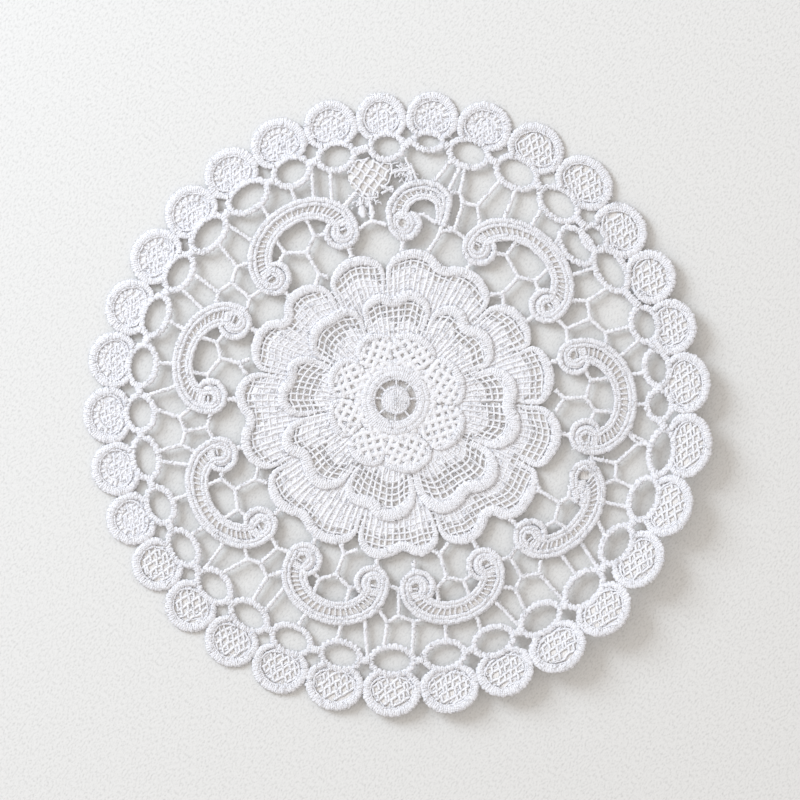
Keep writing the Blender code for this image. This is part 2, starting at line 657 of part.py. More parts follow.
def lace_mesh():
    """The whole lace: the region's triangles, raised, and drawn down to the flat underside."""
    border_outlines, holes, border_cords, border_lines = border()
    scroll_outlines, scroll_cords, scroll_lines = scroll_ring()
    flower_outlines, flower_cords, flower_lines, floors = flower()
    loops = joined(border_outlines + scroll_outlines + flower_outlines + bars(), holes)
    cords = border_cords + scroll_cords + flower_cords
    lines = border_lines + scroll_lines + flower_lines + [cord.path for cord in cords]
    paths = [closed(loop) for loop in loops]
    for line in lines:
        paths.extend(kept_runs(line, loops))
    points, faces = triangles(paths)
    faces = faces[within(points[faces].mean(axis=1), loops)]
    high = heights(points, cords, floors)
    points -= (points.min(axis=0) + points.max(axis=0)) / 2

    shape = bmesh.new()
    top = [
        shape.verts.new((x * METRES_PER_MM, y * METRES_PER_MM, z * METRES_PER_MM))
        for (x, y), z in zip(points, high)
    ]
    for a, b, c in faces:
        shape.faces.new((top[a], top[b], top[c]))
    lower = bmesh.ops.extrude_face_region(shape, geom=shape.faces[:])
    for element in lower["geom"]:
        if isinstance(element, bmesh.types.BMVert):
            element.co.z = 0.0
    loose = [vert for vert in shape.verts if not vert.link_faces]
    bmesh.ops.delete(shape, geom=loose, context="VERTS")
    bmesh.ops.recalc_face_normals(shape, faces=shape.faces[:])
    mesh = bpy.data.meshes.new("lace_doily")
    shape.to_mesh(mesh)
    shape.free()
    print(f"{len(loops) - 1} gaps, {len(mesh.polygons)} faces before the flat ones are merged")
    return mesh


def white_cotton():
    """Bleached cotton embroidery thread: white, matt, no metal."""
    material = bpy.data.materials.new("white_cotton")
    material.use_nodes = True
    shader = material.node_tree.nodes["Principled BSDF"]
    shader.inputs["Base Color"].default_value = (0.86, 0.86, 0.87, 1.0)
    shader.inputs["Roughness"].default_value = 0.9
    shader.inputs["Metallic"].default_value = 0.0
    return material


def main():
    for old in list(bpy.data.objects):
        bpy.data.objects.remove(old)
    mesh = lace_mesh()
    mesh.materials.append(white_cotton())
    mesh.shade_smooth()
    mesh.set_sharp_from_angle(angle=np.radians(50.0))
    bpy.context.scene.collection.objects.link(bpy.data.objects.new("lace_doily", mesh))


main()
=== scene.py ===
"""The looks of a round lace doily: every cord, bar, net and stitch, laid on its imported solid.

Sizes are in millimetres and angles in degrees, anticlockwise from +X round the middle of the
ring of scrolls, until add_piece puts a shape into the frame in metres.
"""

from collections import namedtuple

import bpy
import numpy as np
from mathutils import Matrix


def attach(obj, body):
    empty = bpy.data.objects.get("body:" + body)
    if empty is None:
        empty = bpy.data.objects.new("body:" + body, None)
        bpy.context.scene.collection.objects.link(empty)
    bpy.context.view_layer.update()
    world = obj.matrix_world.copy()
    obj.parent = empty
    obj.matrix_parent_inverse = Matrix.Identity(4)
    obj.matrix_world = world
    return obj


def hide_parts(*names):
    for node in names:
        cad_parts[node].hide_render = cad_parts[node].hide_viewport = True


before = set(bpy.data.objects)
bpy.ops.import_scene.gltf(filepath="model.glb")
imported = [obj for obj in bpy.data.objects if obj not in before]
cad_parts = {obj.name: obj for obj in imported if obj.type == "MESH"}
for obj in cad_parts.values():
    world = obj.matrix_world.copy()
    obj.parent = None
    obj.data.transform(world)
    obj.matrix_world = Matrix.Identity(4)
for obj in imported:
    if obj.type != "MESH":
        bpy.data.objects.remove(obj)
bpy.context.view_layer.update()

# The stage ---------------------------------------------------------------------------------
# A plain pale tabletop, a soft lamp at the upper left, white light from all round, and a
# camera straight above that sees 254 mm of the table.

VIEW_WIDE = 0.2544
SENSOR_WIDE = 36.0
CAMERA_HIGH = 1.2
CAMERA_AIM = (0.00063, 0.00141)
LAMP_DISTANCE = 1.35
LAMP_AZIMUTH = 143.0
LAMP_ELEVATION = 31.0
LAMP_SIZE = 0.62
LAMP_POWER = 17.0
LAMP_COLOUR = (0.82, 0.91, 1.0)
SKY_STRENGTH = 0.865
SKY_COLOUR = (1.0, 0.948, 0.888, 1.0)
TABLE_HALF = 2.0
TABLE_TONE, SPECK_TONE = (0.69, 0.69, 0.69, 1.0), (0.50, 0.50, 0.50, 1.0)
# The specks: how many to the metre, which way they are drawn out, by how much and how deep.
SPECKS = 1700.0
SPECK_LEAN, SPECK_DRAWN, SPECK_DEEP = 54.0, 1.8, 0.0002


def set_inputs(node, inputs):
    """Fills a node's inputs by name: each with a number or a colour, or by a link to an output."""
    for name, value in inputs.items():
        if isinstance(value, bpy.types.NodeSocket):
            node.id_data.links.new(value, node.inputs[name])
        else:
            node.inputs[name].default_value = value
    return node


def add_node(material, kind, inputs, **settings):
    """A new shader node of a kind, with its settings first and then its inputs filled."""
    node = material.node_tree.nodes.new("ShaderNode" + kind)
    for name, value in settings.items():
        setattr(node, name, value)
    return set_inputs(node, inputs)


def pale_tabletop():
    """Matt white paint with fine, slightly darker specks, all drawn out one way."""
    paint = bpy.data.materials.new("pale_tabletop")
    paint.use_nodes = True
    place = add_node(paint, "TexCoord", {})
    drawn = add_node(paint, "Mapping", {
        "Vector": place.outputs["Object"],
        "Rotation": (0.0, 0.0, np.radians(SPECK_LEAN)),
        "Scale": (SPECK_DRAWN, 1.0, 1.0),
    }, vector_type="TEXTURE")
    grain = add_node(paint, "TexNoise", {
        "Vector": drawn.outputs["Vector"], "Scale": SPECKS, "Detail": 4.0, "Roughness": 0.65,
    })
    clear = add_node(paint, "MapRange", {
        "Value": grain.outputs["Fac"], "From Min": 0.24, "From Max": 0.52,
    })
    tone = add_node(paint, "Mix", {
        "Factor": clear.outputs["Result"], "A": SPECK_TONE, "B": TABLE_TONE,
    }, data_type="RGBA")
    bump = add_node(paint, "Bump", {
        "Height": grain.outputs["Fac"], "Strength": 0.4, "Distance": SPECK_DEEP,
    })
    set_inputs(paint.node_tree.nodes["Principled BSDF"], {
        "Base Color": tone.outputs["Result"], "Normal": bump.outputs["Normal"],
        "Roughness": 0.9, "Specular IOR Level": 0.2,
    })
    return paint


def stage_table():
    """A flat square of the painted tabletop, much wider than the lace."""
    corners = [(-1, -1, 0), (1, -1, 0), (1, 1, 0), (-1, 1, 0)]
    mesh = bpy.data.meshes.new("tabletop")
    mesh.from_pydata((TABLE_HALF * np.array(corners)).tolist(), [], [(0, 1, 2, 3)])
    mesh.materials.append(pale_tabletop())
    table = bpy.data.objects.new("tabletop", mesh)
    bpy.context.scene.collection.objects.link(table)


def stage_light():
    """One square lamp that looks at the doily, and an even white sky."""
    turn, rise = np.radians([LAMP_AZIMUTH, LAMP_ELEVATION])
    out = np.array([np.cos(rise) * np.cos(turn), np.cos(rise) * np.sin(turn), np.sin(rise)])
    lamp = bpy.data.lights.new("window_lamp", "AREA")
    lamp.size = LAMP_SIZE
    lamp.energy = LAMP_POWER
    lamp.color = LAMP_COLOUR
    holder = bpy.data.objects.new("window_lamp", lamp)
    holder.location = out * LAMP_DISTANCE
    holder.rotation_euler = (np.pi / 2 - rise, 0.0, turn + np.pi / 2)
    bpy.context.scene.collection.objects.link(holder)
    world = bpy.data.worlds.new("white_room")
    world.use_nodes = True
    sky = world.node_tree.nodes["Background"]
    set_inputs(sky, {"Color": SKY_COLOUR, "Strength": SKY_STRENGTH})
    bpy.context.scene.world = world


def stage_camera():
    """A camera straight above. Its lens is sensor width * height / the view's width."""
    lens = bpy.data.cameras.new("above")
    lens.sensor_width = SENSOR_WIDE
    lens.lens = SENSOR_WIDE * CAMERA_HIGH / VIEW_WIDE
    camera = bpy.data.objects.new("above", lens)
    camera.location = (*CAMERA_AIM, CAMERA_HIGH)
    bpy.context.scene.collection.objects.link(camera)
    bpy.context.scene.camera = camera
    bpy.context.scene.view_settings.view_transform = "Standard"


stage_table()
stage_light()
stage_camera()


# Fan rims ----------------------------------------------------------------------------------
# The edge of the doily: a padded horseshoe cord over each fan of net, covered with satin
# stitches that run across it, and a fine cord just inside. The fans touch their neighbours.

MM = 0.001
# The way from the ring's middle to the frame's, and how heights come down in the pressed lace.
TO_FRAME = np.array([0.31, -0.18])
HEIGHTS, LAID_HEIGHTS = (0.0, 1.3, 3.5), (0.0, 0.95, 2.1)
# The lace's wave: where the edge rises, how high, and from which radius to which; where the
# ring of scrolls and the edge's other side stand off the table; and how rising cloth draws in.
WAVE_TOWARDS, WAVE_HIGH = -31.0, 7.2
WAVE_FROM, WAVE_WIDE = 73.0, 27.0
RING_LIFT, RING_AT, RING_WIDE = 1.7, 58.0, 28.0
LEFT_LIFT, LEFT_AT, LEFT_WIDE = 1.0, 80.0, 18.0
DRAW_IN = 60.0

# A fan's half height outwards and towards its foot, how far it laps over its neighbours, its
# cord, which thins towards its ends, and the fine line inside. Both keep clear of the eyelets.
FAN_TALL, FAN_FOOT_TALL = 8.6, 7.2
FAN_LAP = 0.35
FAN_CORD, FAN_CORD_HIGH = 1.45, 1.05
FAN_FOOT_THIN, FAN_THIN_LONG = 0.38, 5.0
FAN_LINE, FAN_LINE_HIGH = 0.36, 1.3
FAN_STEP, LINE_STEP = 0.325, 0.4
HORSESHOE = np.linspace(-75.0, 255.0, 160)
EYELET_ROOM = 1.5

# Cotton: how many specks of fuzz and of drift to the metre, and the light that comes through.
NAP_FINE, DRIFT_FINE = 2500.0, 1700.0
THROUGH_SHARE, THROUGH_TONE = 0.12, (0.98, 0.95, 0.94, 1.0)


def table(kind, rows):
    """A list of records of one kind, from rows of numbers."""
    return [kind(*row) for row in rows]


Fan = namedtuple("Fan", "angle reach")
FANS = table(Fan, [
    (4.7, 99.5), (16.3, 98.3), (27.0, 97.9), (38.0, 97.9), (50.3, 100.2), (62.0, 100.5),
    (73.0, 100.5), (83.5, 100.2), (93.5, 99.5), (103.5, 99.5), (114.7, 99.5), (126.0, 98.9),
    (137.0, 98.3), (148.5, 98.6), (160.0, 98.9), (171.0, 99.9), (182.0, 100.5), (193.0, 100.2),
    (203.0, 100.5), (213.5, 100.2), (224.0, 100.2), (234.5, 100.2), (245.5, 99.9), (257.0, 99.5),
    (268.5, 99.2), (280.3, 99.5), (291.8, 99.2), (303.3, 100.2), (315.0, 100.2), (327.0, 98.9),
    (339.3, 99.5), (352.0, 100.8),
])

# A made shape: its points, four-sided faces, end caps, thread places of the faces' corners,
# and how far each point stands out of the grooves, which sets its colour: lower is painted shade.
Shape = namedtuple("Shape", "points quads caps thread crest")
chance = np.random.default_rng(11)


def polar(angle, radius, centre=(0.0, 0.0)):
    """The points at these angles and radii round a centre, as rows of x and y."""
    turn = np.radians(np.asarray(angle, float))
    reach = np.asarray(radius, float)
    return np.stack([centre[0] + reach * np.cos(turn), centre[1] + reach * np.sin(turn)], axis=-1)


def ways_at(angle):
    """The direction outwards at an angle, and the one along the ring there, anticlockwise."""
    outward = polar(angle, 1.0)
    return outward, np.array([-outward[1], outward[0]])


def ellipse(angle, radius, half_wide, half_high, turn):
    """Points of an ellipse at a place on the ring: turn 0 is along it, anticlockwise, 90 outwards.

    Its half width lies along the ring and its half height outwards.
    """
    outward, along = ways_at(angle)
    turn = np.radians(turn)
    return (
        radius * outward
        + (half_wide * np.cos(turn))[:, None] * along
        + (half_high * np.sin(turn))[:, None] * outward
    )


def spaced(path, step, closed=False):
    """The same path with its points an even step apart, read off straight runs between its own."""
    path = np.asarray(path, float)
    if closed:
        path = np.vstack([path, path[:1]])
    length = np.append(0.0, np.cumsum(np.linalg.norm(np.diff(path, axis=0), axis=1)))
    count = max(int(round(length[-1] / step)), 2)
    at = np.linspace(0.0, length[-1], count + 1)
    at = at[:-1] if closed else at
    return np.stack([np.interp(at, length, axis) for axis in path.T], axis=1)


def eased(path, passes):
    """A path with its inner points moved towards the mean of their neighbours, passes times."""
    path = np.array(path, float)
    for _ in range(passes):
        path[1:-1] = (path[:-2] + 2 * path[1:-1] + path[2:]) / 4
    return path


def rough(path, size):
    """A path with each point moved at random, by about this size, as a needle leaves it."""
    return path + eased(chance.normal(0.0, 1.0, path.shape), 1) * size


def at_height(path, high):
    """A flat path given a height, one number or one for each point."""
    return np.column_stack([path, np.broadcast_to(high, len(path))])


def grid_faces(rows, columns, rows_closed=True, columns_closed=True):
    """The corners of the faces between the points of a grid, whose last row may join its first."""
    i = np.arange(rows if rows_closed else rows - 1)[:, None]
    j = np.arange(columns if columns_closed else columns - 1)[None]
    after, beside = (i + 1) % rows, (j + 1) % columns
    corners = i * columns + j, i * columns + beside, after * columns + beside, after * columns + j
    return np.stack(corners, -1).reshape(-1, 4)


def cord(
    path, half_wide, half_high, sides, closed=False, stitch=1.3, groove=0.0, lean=0.0, nap=0.05
):
    """An elliptic section carried along a path, with one groove between every two stitches.

    At length s along and angle a round the section, the radius is the ellipse's, times
    1 - groove * (1 - |sin(pi * (s / stitch + lean * cos a))|), a little uneven from stitch to
    stitch, and times a random share of about nap.
    """
    count = len(path)
    if closed:
        run = np.roll(path, -1, axis=0) - np.roll(path, 1, axis=0)
    else:
        run = np.gradient(path, axis=0)
    run /= np.linalg.norm(run, axis=1)[:, None]
    side = np.cross([0.0, 0.0, 1.0], run)
    side /= np.linalg.norm(side, axis=1)[:, None]
    up = np.cross(run, side)
    step = np.linalg.norm(np.roll(path, -1, axis=0) - path, axis=1)
    along = np.append(0.0, np.cumsum(step))
    if closed:
        stitch = along[-1] / max(round(along[-1] / stitch), 1)
    turn = 2 * np.pi * np.arange(sides) / sides
    uneven = eased(chance.normal(0.0, 0.5, (count, 2)), 2)
    phase = along[:count, None] / stitch + lean * np.cos(turn) + 0.4 * uneven[:, :1]
    crest = np.abs(np.sin(np.pi * phase))
    swell = 1 - groove * (1 + uneven[:, 1:]) * (1 - crest) + chance.normal(0.0, nap, crest.shape)
    wide = np.broadcast_to(half_wide, count)[:, None] * np.cos(turn) * swell
    high = np.broadcast_to(half_high, count)[:, None] * np.sin(turn) * swell
    points = path[:, None] + wide[..., None] * side[:, None] + high[..., None] * up[:, None]

    i, j = np.arange(count if closed else count - 1)[:, None], np.arange(sides)[None]
    girth = 2 * np.pi * float(np.mean(half_wide)) / sides
    near, far = along[i] + 0 * j, along[i + 1] + 0 * j
    low, top = j * girth + 0 * i, (j + 1) * girth + 0 * i
    corners = ((near, low), (near, top), (far, top), (far, low))
    thread = np.stack([np.stack(corner, -1) for corner in corners], -2)
    ring = np.arange(sides)
    caps = np.stack([ring[::-1], (count - 1) * sides + ring])[: 0 if closed else 2]
    # The share of the lit colour: lower in the grooves, where the colour paints shade.
    lit_share = 0.8 - min(2.0 * groove, 0.6) * (1 - crest)
    quads = grid_faces(count, sides, closed)
    return Shape(points.reshape(-1, 3), quads, caps, thread.reshape(-1, 2), lit_share.ravel())


def waved(points):
    """The lace's slight wave: the ring of scrolls stands off the table, and the edge on one side.

    The edge's rise is a smooth step of the radius times a power of the cosine from its
    direction, and the other two lifts fall off evenly on both sides of their radius. The cloth
    doesn't stretch, so where it rises it draws in by the rise squared over DRAW_IN.
    """
    reach = np.hypot(points[:, 0], points[:, 1])
    towards = np.cos(np.arctan2(points[:, 1], points[:, 0]) - np.radians(WAVE_TOWARDS))
    out = np.clip((reach - WAVE_FROM) / WAVE_WIDE, 0.0, 1.0)
    ring = np.clip(1 - np.abs(reach - RING_AT) / RING_WIDE, 0.0, 1.0)
    left = np.clip(1 - np.abs(reach - LEFT_AT) / LEFT_WIDE, 0.0, 1.0)
    rise = WAVE_HIGH * out**2 * (3 - 2 * out) * np.clip(towards, 0.0, 1.0) ** 1.8
    rise += RING_LIFT * ring**0.5
    rise += LEFT_LIFT * left * np.clip(-towards, 0.0, 1.0) ** 0.5
    drawn = 1 - rise**2 / DRAW_IN / np.maximum(reach, 10.0)
    return points * np.stack([drawn, drawn, drawn**0], axis=1) + np.outer(rise, (0.0, 0.0, 1.0))


# The upper points of every piece so far: the loose fibres of the last section lie on them.
cord_tops = []


def add_piece(name, shapes, material):
    """One mesh of several shapes, in metres in the frame, with the thread UVs and the crest."""
    starts = np.append(0, np.cumsum([len(shape.points) for shape in shapes]))[:-1]
    points = np.concatenate([shape.points for shape in shapes])
    quads = np.concatenate([shape.quads + start for shape, start in zip(shapes, starts)])
    caps = [(shape.caps + start).tolist() for shape, start in zip(shapes, starts)]
    caps = [cap for group in caps for cap in group]
    cord_tops.append(points[points[:, 2] > 0.7 * points[:, 2].max()])
    points[:, 2] = np.interp(points[:, 2], HEIGHTS, LAID_HEIGHTS)
    points = waved(points) + np.append(TO_FRAME, 0.0)
    mesh = bpy.data.meshes.new(name)
    mesh.from_pydata((points * MM).tolist(), [], quads.tolist() + caps)
    thread = np.concatenate([shape.thread for shape in shapes])
    corners = np.zeros((len(mesh.loops), 2))
    corners[: len(thread)] = thread
    mesh.uv_layers.new(name="thread").data.foreach_set("uv", corners.ravel())
    # Each point's crest sets how much painted shade its colour takes in the grooves.
    crest = mesh.attributes.new("crest", "FLOAT", "POINT")
    crest.data.foreach_set("value", np.concatenate([shape.crest for shape in shapes]))
    mesh.materials.append(material)
    mesh.shade_smooth()
    piece = bpy.data.objects.new(name, mesh)
    bpy.context.scene.collection.objects.link(piece)
    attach(piece, "root")
    return piece


def white_cotton(name, strand, depth, fuzz, low, high):
    """Bleached cotton: strands across the cord every strand mm, depth mm deep, under a fine fuzz.

    The colour goes from low in the grooves to high on the crests, times a slow random drift and
    a faint line between two strands: low and those lines are painted shade. Some light comes
    through.
    """
    cotton = bpy.data.materials.new(name)
    cotton.use_nodes = True
    nodes = cotton.node_tree.nodes
    place = add_node(cotton, "TexCoord", {})
    strands = add_node(cotton, "TexWave", {
        "Vector": place.outputs["UV"], "Scale": 2 * np.pi / (20 * strand),
        "Distortion": 2.5, "Detail": 2.0, "Detail Scale": 1.5,
    })
    nap = add_node(cotton, "TexNoise", {
        "Vector": place.outputs["Object"], "Scale": NAP_FINE, "Detail": 3.0,
    })
    stranded = add_node(cotton, "Bump", {
        "Height": strands.outputs["Fac"], "Strength": 1.0, "Distance": depth * MM,
    })
    fuzzy = add_node(cotton, "Bump", {
        "Height": nap.outputs["Fac"], "Strength": 1.0, "Distance": fuzz * MM,
        "Normal": stranded.outputs["Normal"],
    })
    crest = add_node(cotton, "Attribute", {}, attribute_name="crest")
    drift = add_node(cotton, "TexNoise", {
        "Vector": place.outputs["Object"], "Scale": DRIFT_FINE, "Detail": 4.0,
    })
    spread = add_node(cotton, "MapRange", {
        "Value": drift.outputs["Fac"], "From Min": 0.3, "From Max": 0.7, "To Min": 0.45,
    })
    lines = add_node(cotton, "MapRange", {"Value": strands.outputs["Fac"], "To Min": 0.9})
    share = add_node(cotton, "Math", {
        0: crest.outputs["Fac"], 1: spread.outputs["Result"],
    }, operation="MULTIPLY")
    lined = add_node(cotton, "Math", {
        0: share.outputs["Value"], 1: lines.outputs["Result"],
    }, operation="MULTIPLY")
    # Painted shade: the bluish low colour in the grooves and between strands, high where lit.
    tone = add_node(cotton, "Mix", {
        "Factor": lined.outputs["Value"], "A": (*low, 1.0), "B": (*high, 1.0),
    }, data_type="RGBA")
    shader = set_inputs(nodes["Principled BSDF"], {
        "Base Color": tone.outputs["Result"], "Normal": fuzzy.outputs["Normal"],
        "Roughness": 0.85, "Specular IOR Level": 0.25, "Sheen Weight": 0.15, "Sheen Roughness": 0.5,
    })
    through = add_node(cotton, "BsdfTranslucent", {"Color": THROUGH_TONE})
    both = add_node(cotton, "MixShader", {
        "Fac": THROUGH_SHARE, 1: shader.outputs["BSDF"], 2: through.outputs["BSDF"],
    })
    set_inputs(nodes["Material Output"], {"Surface": both.outputs["Shader"]})
    return cotton


# Each cotton's low colour is the painted shade of its grooves, and high its lit colour.
satin = white_cotton(
    "satin_stitched_cotton", strand=0.7, depth=0.12, fuzz=0.5,
    low=(0.87, 0.877, 0.95), high=(0.957, 0.954, 0.987),
)
wrapped = white_cotton(
    "wrapped_cotton", strand=0.35, depth=0.05, fuzz=0.3,
    low=(0.87, 0.876, 0.94), high=(0.95, 0.946, 0.975),
)


Oval = namedtuple("Oval", "angle radius half_wide half_high")
OVALS = table(Oval, [
    (0.0, 82.7, 3.6, 2.7), (8.2, 82.8, 4.6, 2.7), (18.1, 82.2, 4.5, 3.0), (32.5, 79.8, 6.3, 3.2),
    (40.5, 81.7, 3.2, 2.2), (51.5, 81.6, 5.7, 3.4), (63.1, 82.7, 5.6, 3.6), (74.5, 83.0, 5.1, 3.3),
    (83.6, 84.3, 3.5, 1.7), (92.7, 82.2, 4.1, 3.0), (104.2, 81.4, 4.6, 3.2),
    (114.7, 81.6, 4.7, 3.4), (125.9, 81.7, 5.8, 3.2), (138.0, 81.3, 5.7, 3.0),
    (148.9, 81.6, 5.1, 2.8), (159.8, 82.4, 5.4, 2.9), (171.2, 82.5, 5.4, 3.3),
    (181.8, 82.2, 4.5, 3.4), (191.8, 82.2, 5.4, 3.0), (202.8, 82.2, 4.7, 3.0),
    (213.5, 82.2, 5.0, 3.0), (224.4, 82.2, 5.0, 3.2), (234.6, 82.2, 5.2, 3.0),
    (245.4, 82.0, 5.2, 3.2), (256.9, 81.7, 5.1, 3.2), (268.5, 81.3, 5.7, 3.3),
    (280.3, 80.8, 5.3, 3.2), (291.8, 80.8, 5.3, 3.2), (303.5, 81.4, 5.7, 3.2),
    (315.2, 82.8, 6.1, 3.4), (327.3, 82.2, 5.5, 3.1), (339.0, 83.3, 5.8, 3.2),
    (349.9, 84.7, 5.9, 2.7),
])
LOW_OVAL = Oval(41.8, 75.8, 5.6, 3.0)


def fan_room(index):
    """The angle and radius of a fan's middle, and half its width: the room it has, and its lap."""
    fan = FANS[index]
    before = FANS[index - 1].angle - (360.0 if index == 0 else 0.0)
    after = FANS[(index + 1) % len(FANS)].angle + (360.0 if index == len(FANS) - 1 else 0.0)
    middle = fan.reach - FAN_TALL
    half_wide = middle * np.radians(after - before) / 4 + FAN_LAP
    return (before + 2 * fan.angle + after) / 4, middle, half_wide


def fan_edge(index, inset, turn):
    """Points of one fan's edge, drawn in by an inset, at these turns: 0 and 180 are its sides.

    An ellipse as wide as the room between the neighbours, lower on its foot's side.
    """
    angle, middle, half_wide = fan_room(index)
    tall = np.where(np.sin(np.radians(turn)) < 0, FAN_FOOT_TALL, FAN_TALL) - inset
    return ellipse(angle, middle, half_wide - inset, tall, turn)


def off_ovals(points, outset):
    """How far each point is from the nearest eyelet's edge, as a share: under 1 is inside."""
    rows = np.array(OVALS + [LOW_OVAL])
    outward = polar(rows[:, 0], 1.0)
    along = np.stack([-outward[:, 1], outward[:, 0]], axis=1)
    away = points[:, None] - rows[:, 1, None] * outward
    wide = (away * along).sum(axis=2) / (rows[:, 2] + outset)
    high = (away * outward).sum(axis=2) / (rows[:, 3] + outset)
    return np.hypot(wide, high).min(axis=1)


def kept(path, keep, least=3):
    """The runs of a path whose points are kept, each with at least so many points."""
    breaks = np.flatnonzero(np.diff(keep.astype(int))) + 1
    runs = zip(np.split(path, breaks), np.split(keep, breaks))
    return [run for run, flag in runs if flag[0] and len(run) >= least]


def fan_rims():
    """A cord along each fan's edge, as far as the eyelets, and the fine line inside it.

    The cord's half width falls evenly to its ends, over FAN_THIN_LONG.
    """
    shapes = []
    down = np.clip(-np.sin(np.radians(HORSESHOE)) / 0.7, 0.0, 1.0)
    for index in range(len(FANS)):
        path = fan_edge(index, FAN_CORD * (1 - FAN_FOOT_THIN * down), HORSESHOE)
        path = spaced(kept(path, off_ovals(path, EYELET_ROOM) > 1)[-1], FAN_STEP)
        gone = np.arange(len(path)) * FAN_STEP
        near_end = np.clip(1 - np.minimum(gone, gone[::-1]) / FAN_THIN_LONG, 0.0, 1.0)
        half = FAN_CORD * (1 - FAN_FOOT_THIN * near_end)
        path = at_height(rough(path, 0.08), FAN_CORD_HIGH)
        shapes.append(
            cord(path, half, FAN_CORD_HIGH, 10, stitch=1.2, groove=0.22, lean=0.25, nap=0.08)
        )
        path = fan_edge(index, 2 * FAN_CORD - 0.15, HORSESHOE)
        path = kept(path, off_ovals(path, EYELET_ROOM) > 1)[-1]
        path = at_height(rough(spaced(path, LINE_STEP), 0.12), FAN_LINE_HIGH)
        shapes.append(cord(path, FAN_LINE, FAN_LINE, 6, stitch=0.8, groove=0.15, nap=0.12))
    return add_piece("fan_rims", shapes, satin)


fan_cords = fan_rims()


# Fan nets ----------------------------------------------------------------------------------
# The open net that fills each fan: straight threads that lean one way on the whole border,
# tied by short links like bricks. On the left of the doily it is finer, inside a row of loops.

# One kind of net: the room between two threads and between two links, the threads' half
# width and the height of their middles.
Net = namedtuple("Net", "row link half high")
OPEN_NET = Net(2.2, 2.15, 0.52, 0.9)
FINE_NET = Net(1.75, 1.8, 0.58, 0.74)
FINE_FROM, FINE_TO = 72.0, 212.0
# The fine nets' threads take this share of their lit colour; the rest is painted groove shade.
FINE_NET_LIT_SHARE = 0.3
NET_LEAN, LINK_LEAN = 33.0, 104.0
NET_FLAT = 0.65
NET_STEP, NET_ROUGH, LINK_ROUGH = 0.8, 0.27, 0.08
LINK_UNEVEN = 0.18
NET_ROOM = 1.2
# The row of loops: its depth, the turns of its edge and its loops, and its threads' height.
LOOP_DEEP = 1.9
LOOP_EDGE, LOOPS = np.linspace(15.0, 165.0, 40), np.linspace(22.0, 158.0, 7)
LOOP_HIGH = 0.8

lace_threads = []


def is_fine(fan):
    """Whether a fan has the fine net."""
    return FINE_FROM < fan.angle < FINE_TO


def fan_share(index, inset, points):
    """How far points are from a fan's middle, as a share of its drawn-in edge: under 1 is inside.

    At its foot, where the cord is thin, the inside reaches further down.
    """
    angle, middle, half_wide = fan_room(index)
    outward, along = ways_at(angle)
    away = points - middle * outward
    rise = away @ outward
    inset = np.where(rise < 0, inset - 2 * FAN_CORD * FAN_FOOT_THIN, inset)
    tall = np.where(rise < 0, FAN_FOOT_TALL + 1.5, FAN_TALL) - inset
    return np.hypot(away @ along / (half_wide - inset), rise / tall)


def brick_net(middle, reach, net, inside):
    """Straight threads a row apart, with links between every two, shifted by half in turn.

    The threads lean by NET_LEAN and the links by LINK_LEAN, so a link moves along by the row
    over the tangent of the angle between them.
    """
    along, across = polar(NET_LEAN, 1.0), polar(NET_LEAN + 90.0, 1.0)
    slant = 1 / np.tan(np.radians(LINK_LEAN - NET_LEAN))
    flat = NET_FLAT * net.half
    shapes = []
    count = int(reach / net.row) + 1
    at = np.arange(-reach, reach, NET_STEP)
    shift = chance.uniform(-0.5, 0.5, 2)
    for k in range(-count, count + 1):
        rise = (k + shift[0]) * net.row
        path = rough(middle + np.outer(at, along) + rise * across, NET_ROUGH)
        for run in kept(path, inside(path)):
            shapes.append(cord(at_height(run, net.high), net.half, flat, 4))
        starts = np.arange(-reach, reach, net.link) + net.link * (shift[1] + 0.5 * (k % 2))
        share = np.linspace(0.0, 1.0, 4)
        for start in starts + chance.normal(0.0, LINK_UNEVEN * net.link, len(starts)):
            path = middle + np.outer(start + share * net.row * slant, along)
            path = path + np.outer(rise + share * net.row, across)
            if inside(path).all():
                path = at_height(rough(path, LINK_ROUGH), net.high)
                shapes.append(cord(path, net.half * 0.95, flat, 4))
    return shapes


def fan_net(number, fan):
    """One fan's net, up to its rim and the eyelets; a fine one leaves room for its row of loops."""
    angle, middle, half_wide = fan_room(number)
    inset = 2 * FAN_CORD + (LOOP_DEEP if is_fine(fan) else 0.0)

    def in_net(points):
        inner = fan_share(number, inset, points) < 1
        if is_fine(fan):
            below = points @ polar(fan.angle, 1.0) < middle + 0.5
            inner |= (fan_share(number, 2 * FAN_CORD, points) < 1) & below
        return (off_ovals(points, NET_ROOM) > 1) & inner

    net = FINE_NET if is_fine(fan) else OPEN_NET
    return brick_net(polar(angle, middle), half_wide + 1.5, net, in_net)


def fan_loops(number):
    """A line along a fine net's outer edge, and short threads from it to the rim."""
    path = rough(spaced(fan_edge(number, 2 * FAN_CORD + LOOP_DEEP, LOOP_EDGE), 0.6), 0.15)
    shapes = [cord(at_height(path, LOOP_HIGH), 0.55, 0.35, 5)]
    for turn in LOOPS + chance.normal(0.0, 3.0, len(LOOPS)):
        insets = (2 * FAN_CORD + LOOP_DEEP, 2 * FAN_CORD - 0.6)
        path = spaced(np.vstack([fan_edge(number, inset, [turn]) for inset in insets]), 0.9)
        shapes.append(cord(at_height(path, LOOP_HIGH), 0.6, 0.4, 5))
    return shapes


for number, fan in enumerate(FANS):
    net = fan_net(number, fan)
    if is_fine(fan):
        net = [shape._replace(crest=FINE_NET_LIT_SHARE * shape.crest) for shape in net]
        net.extend(fan_loops(number))
    lace_threads.extend(net)


# Underlay ----------------------------------------------------------------------------------
# Loose threads that cross each fan every way, low down under its net, over a thin closed slab
# on the table. The threads are guessed, and real lace has no such slab, as its holes are
# open: both stand for the pale shade in the net's small holes.

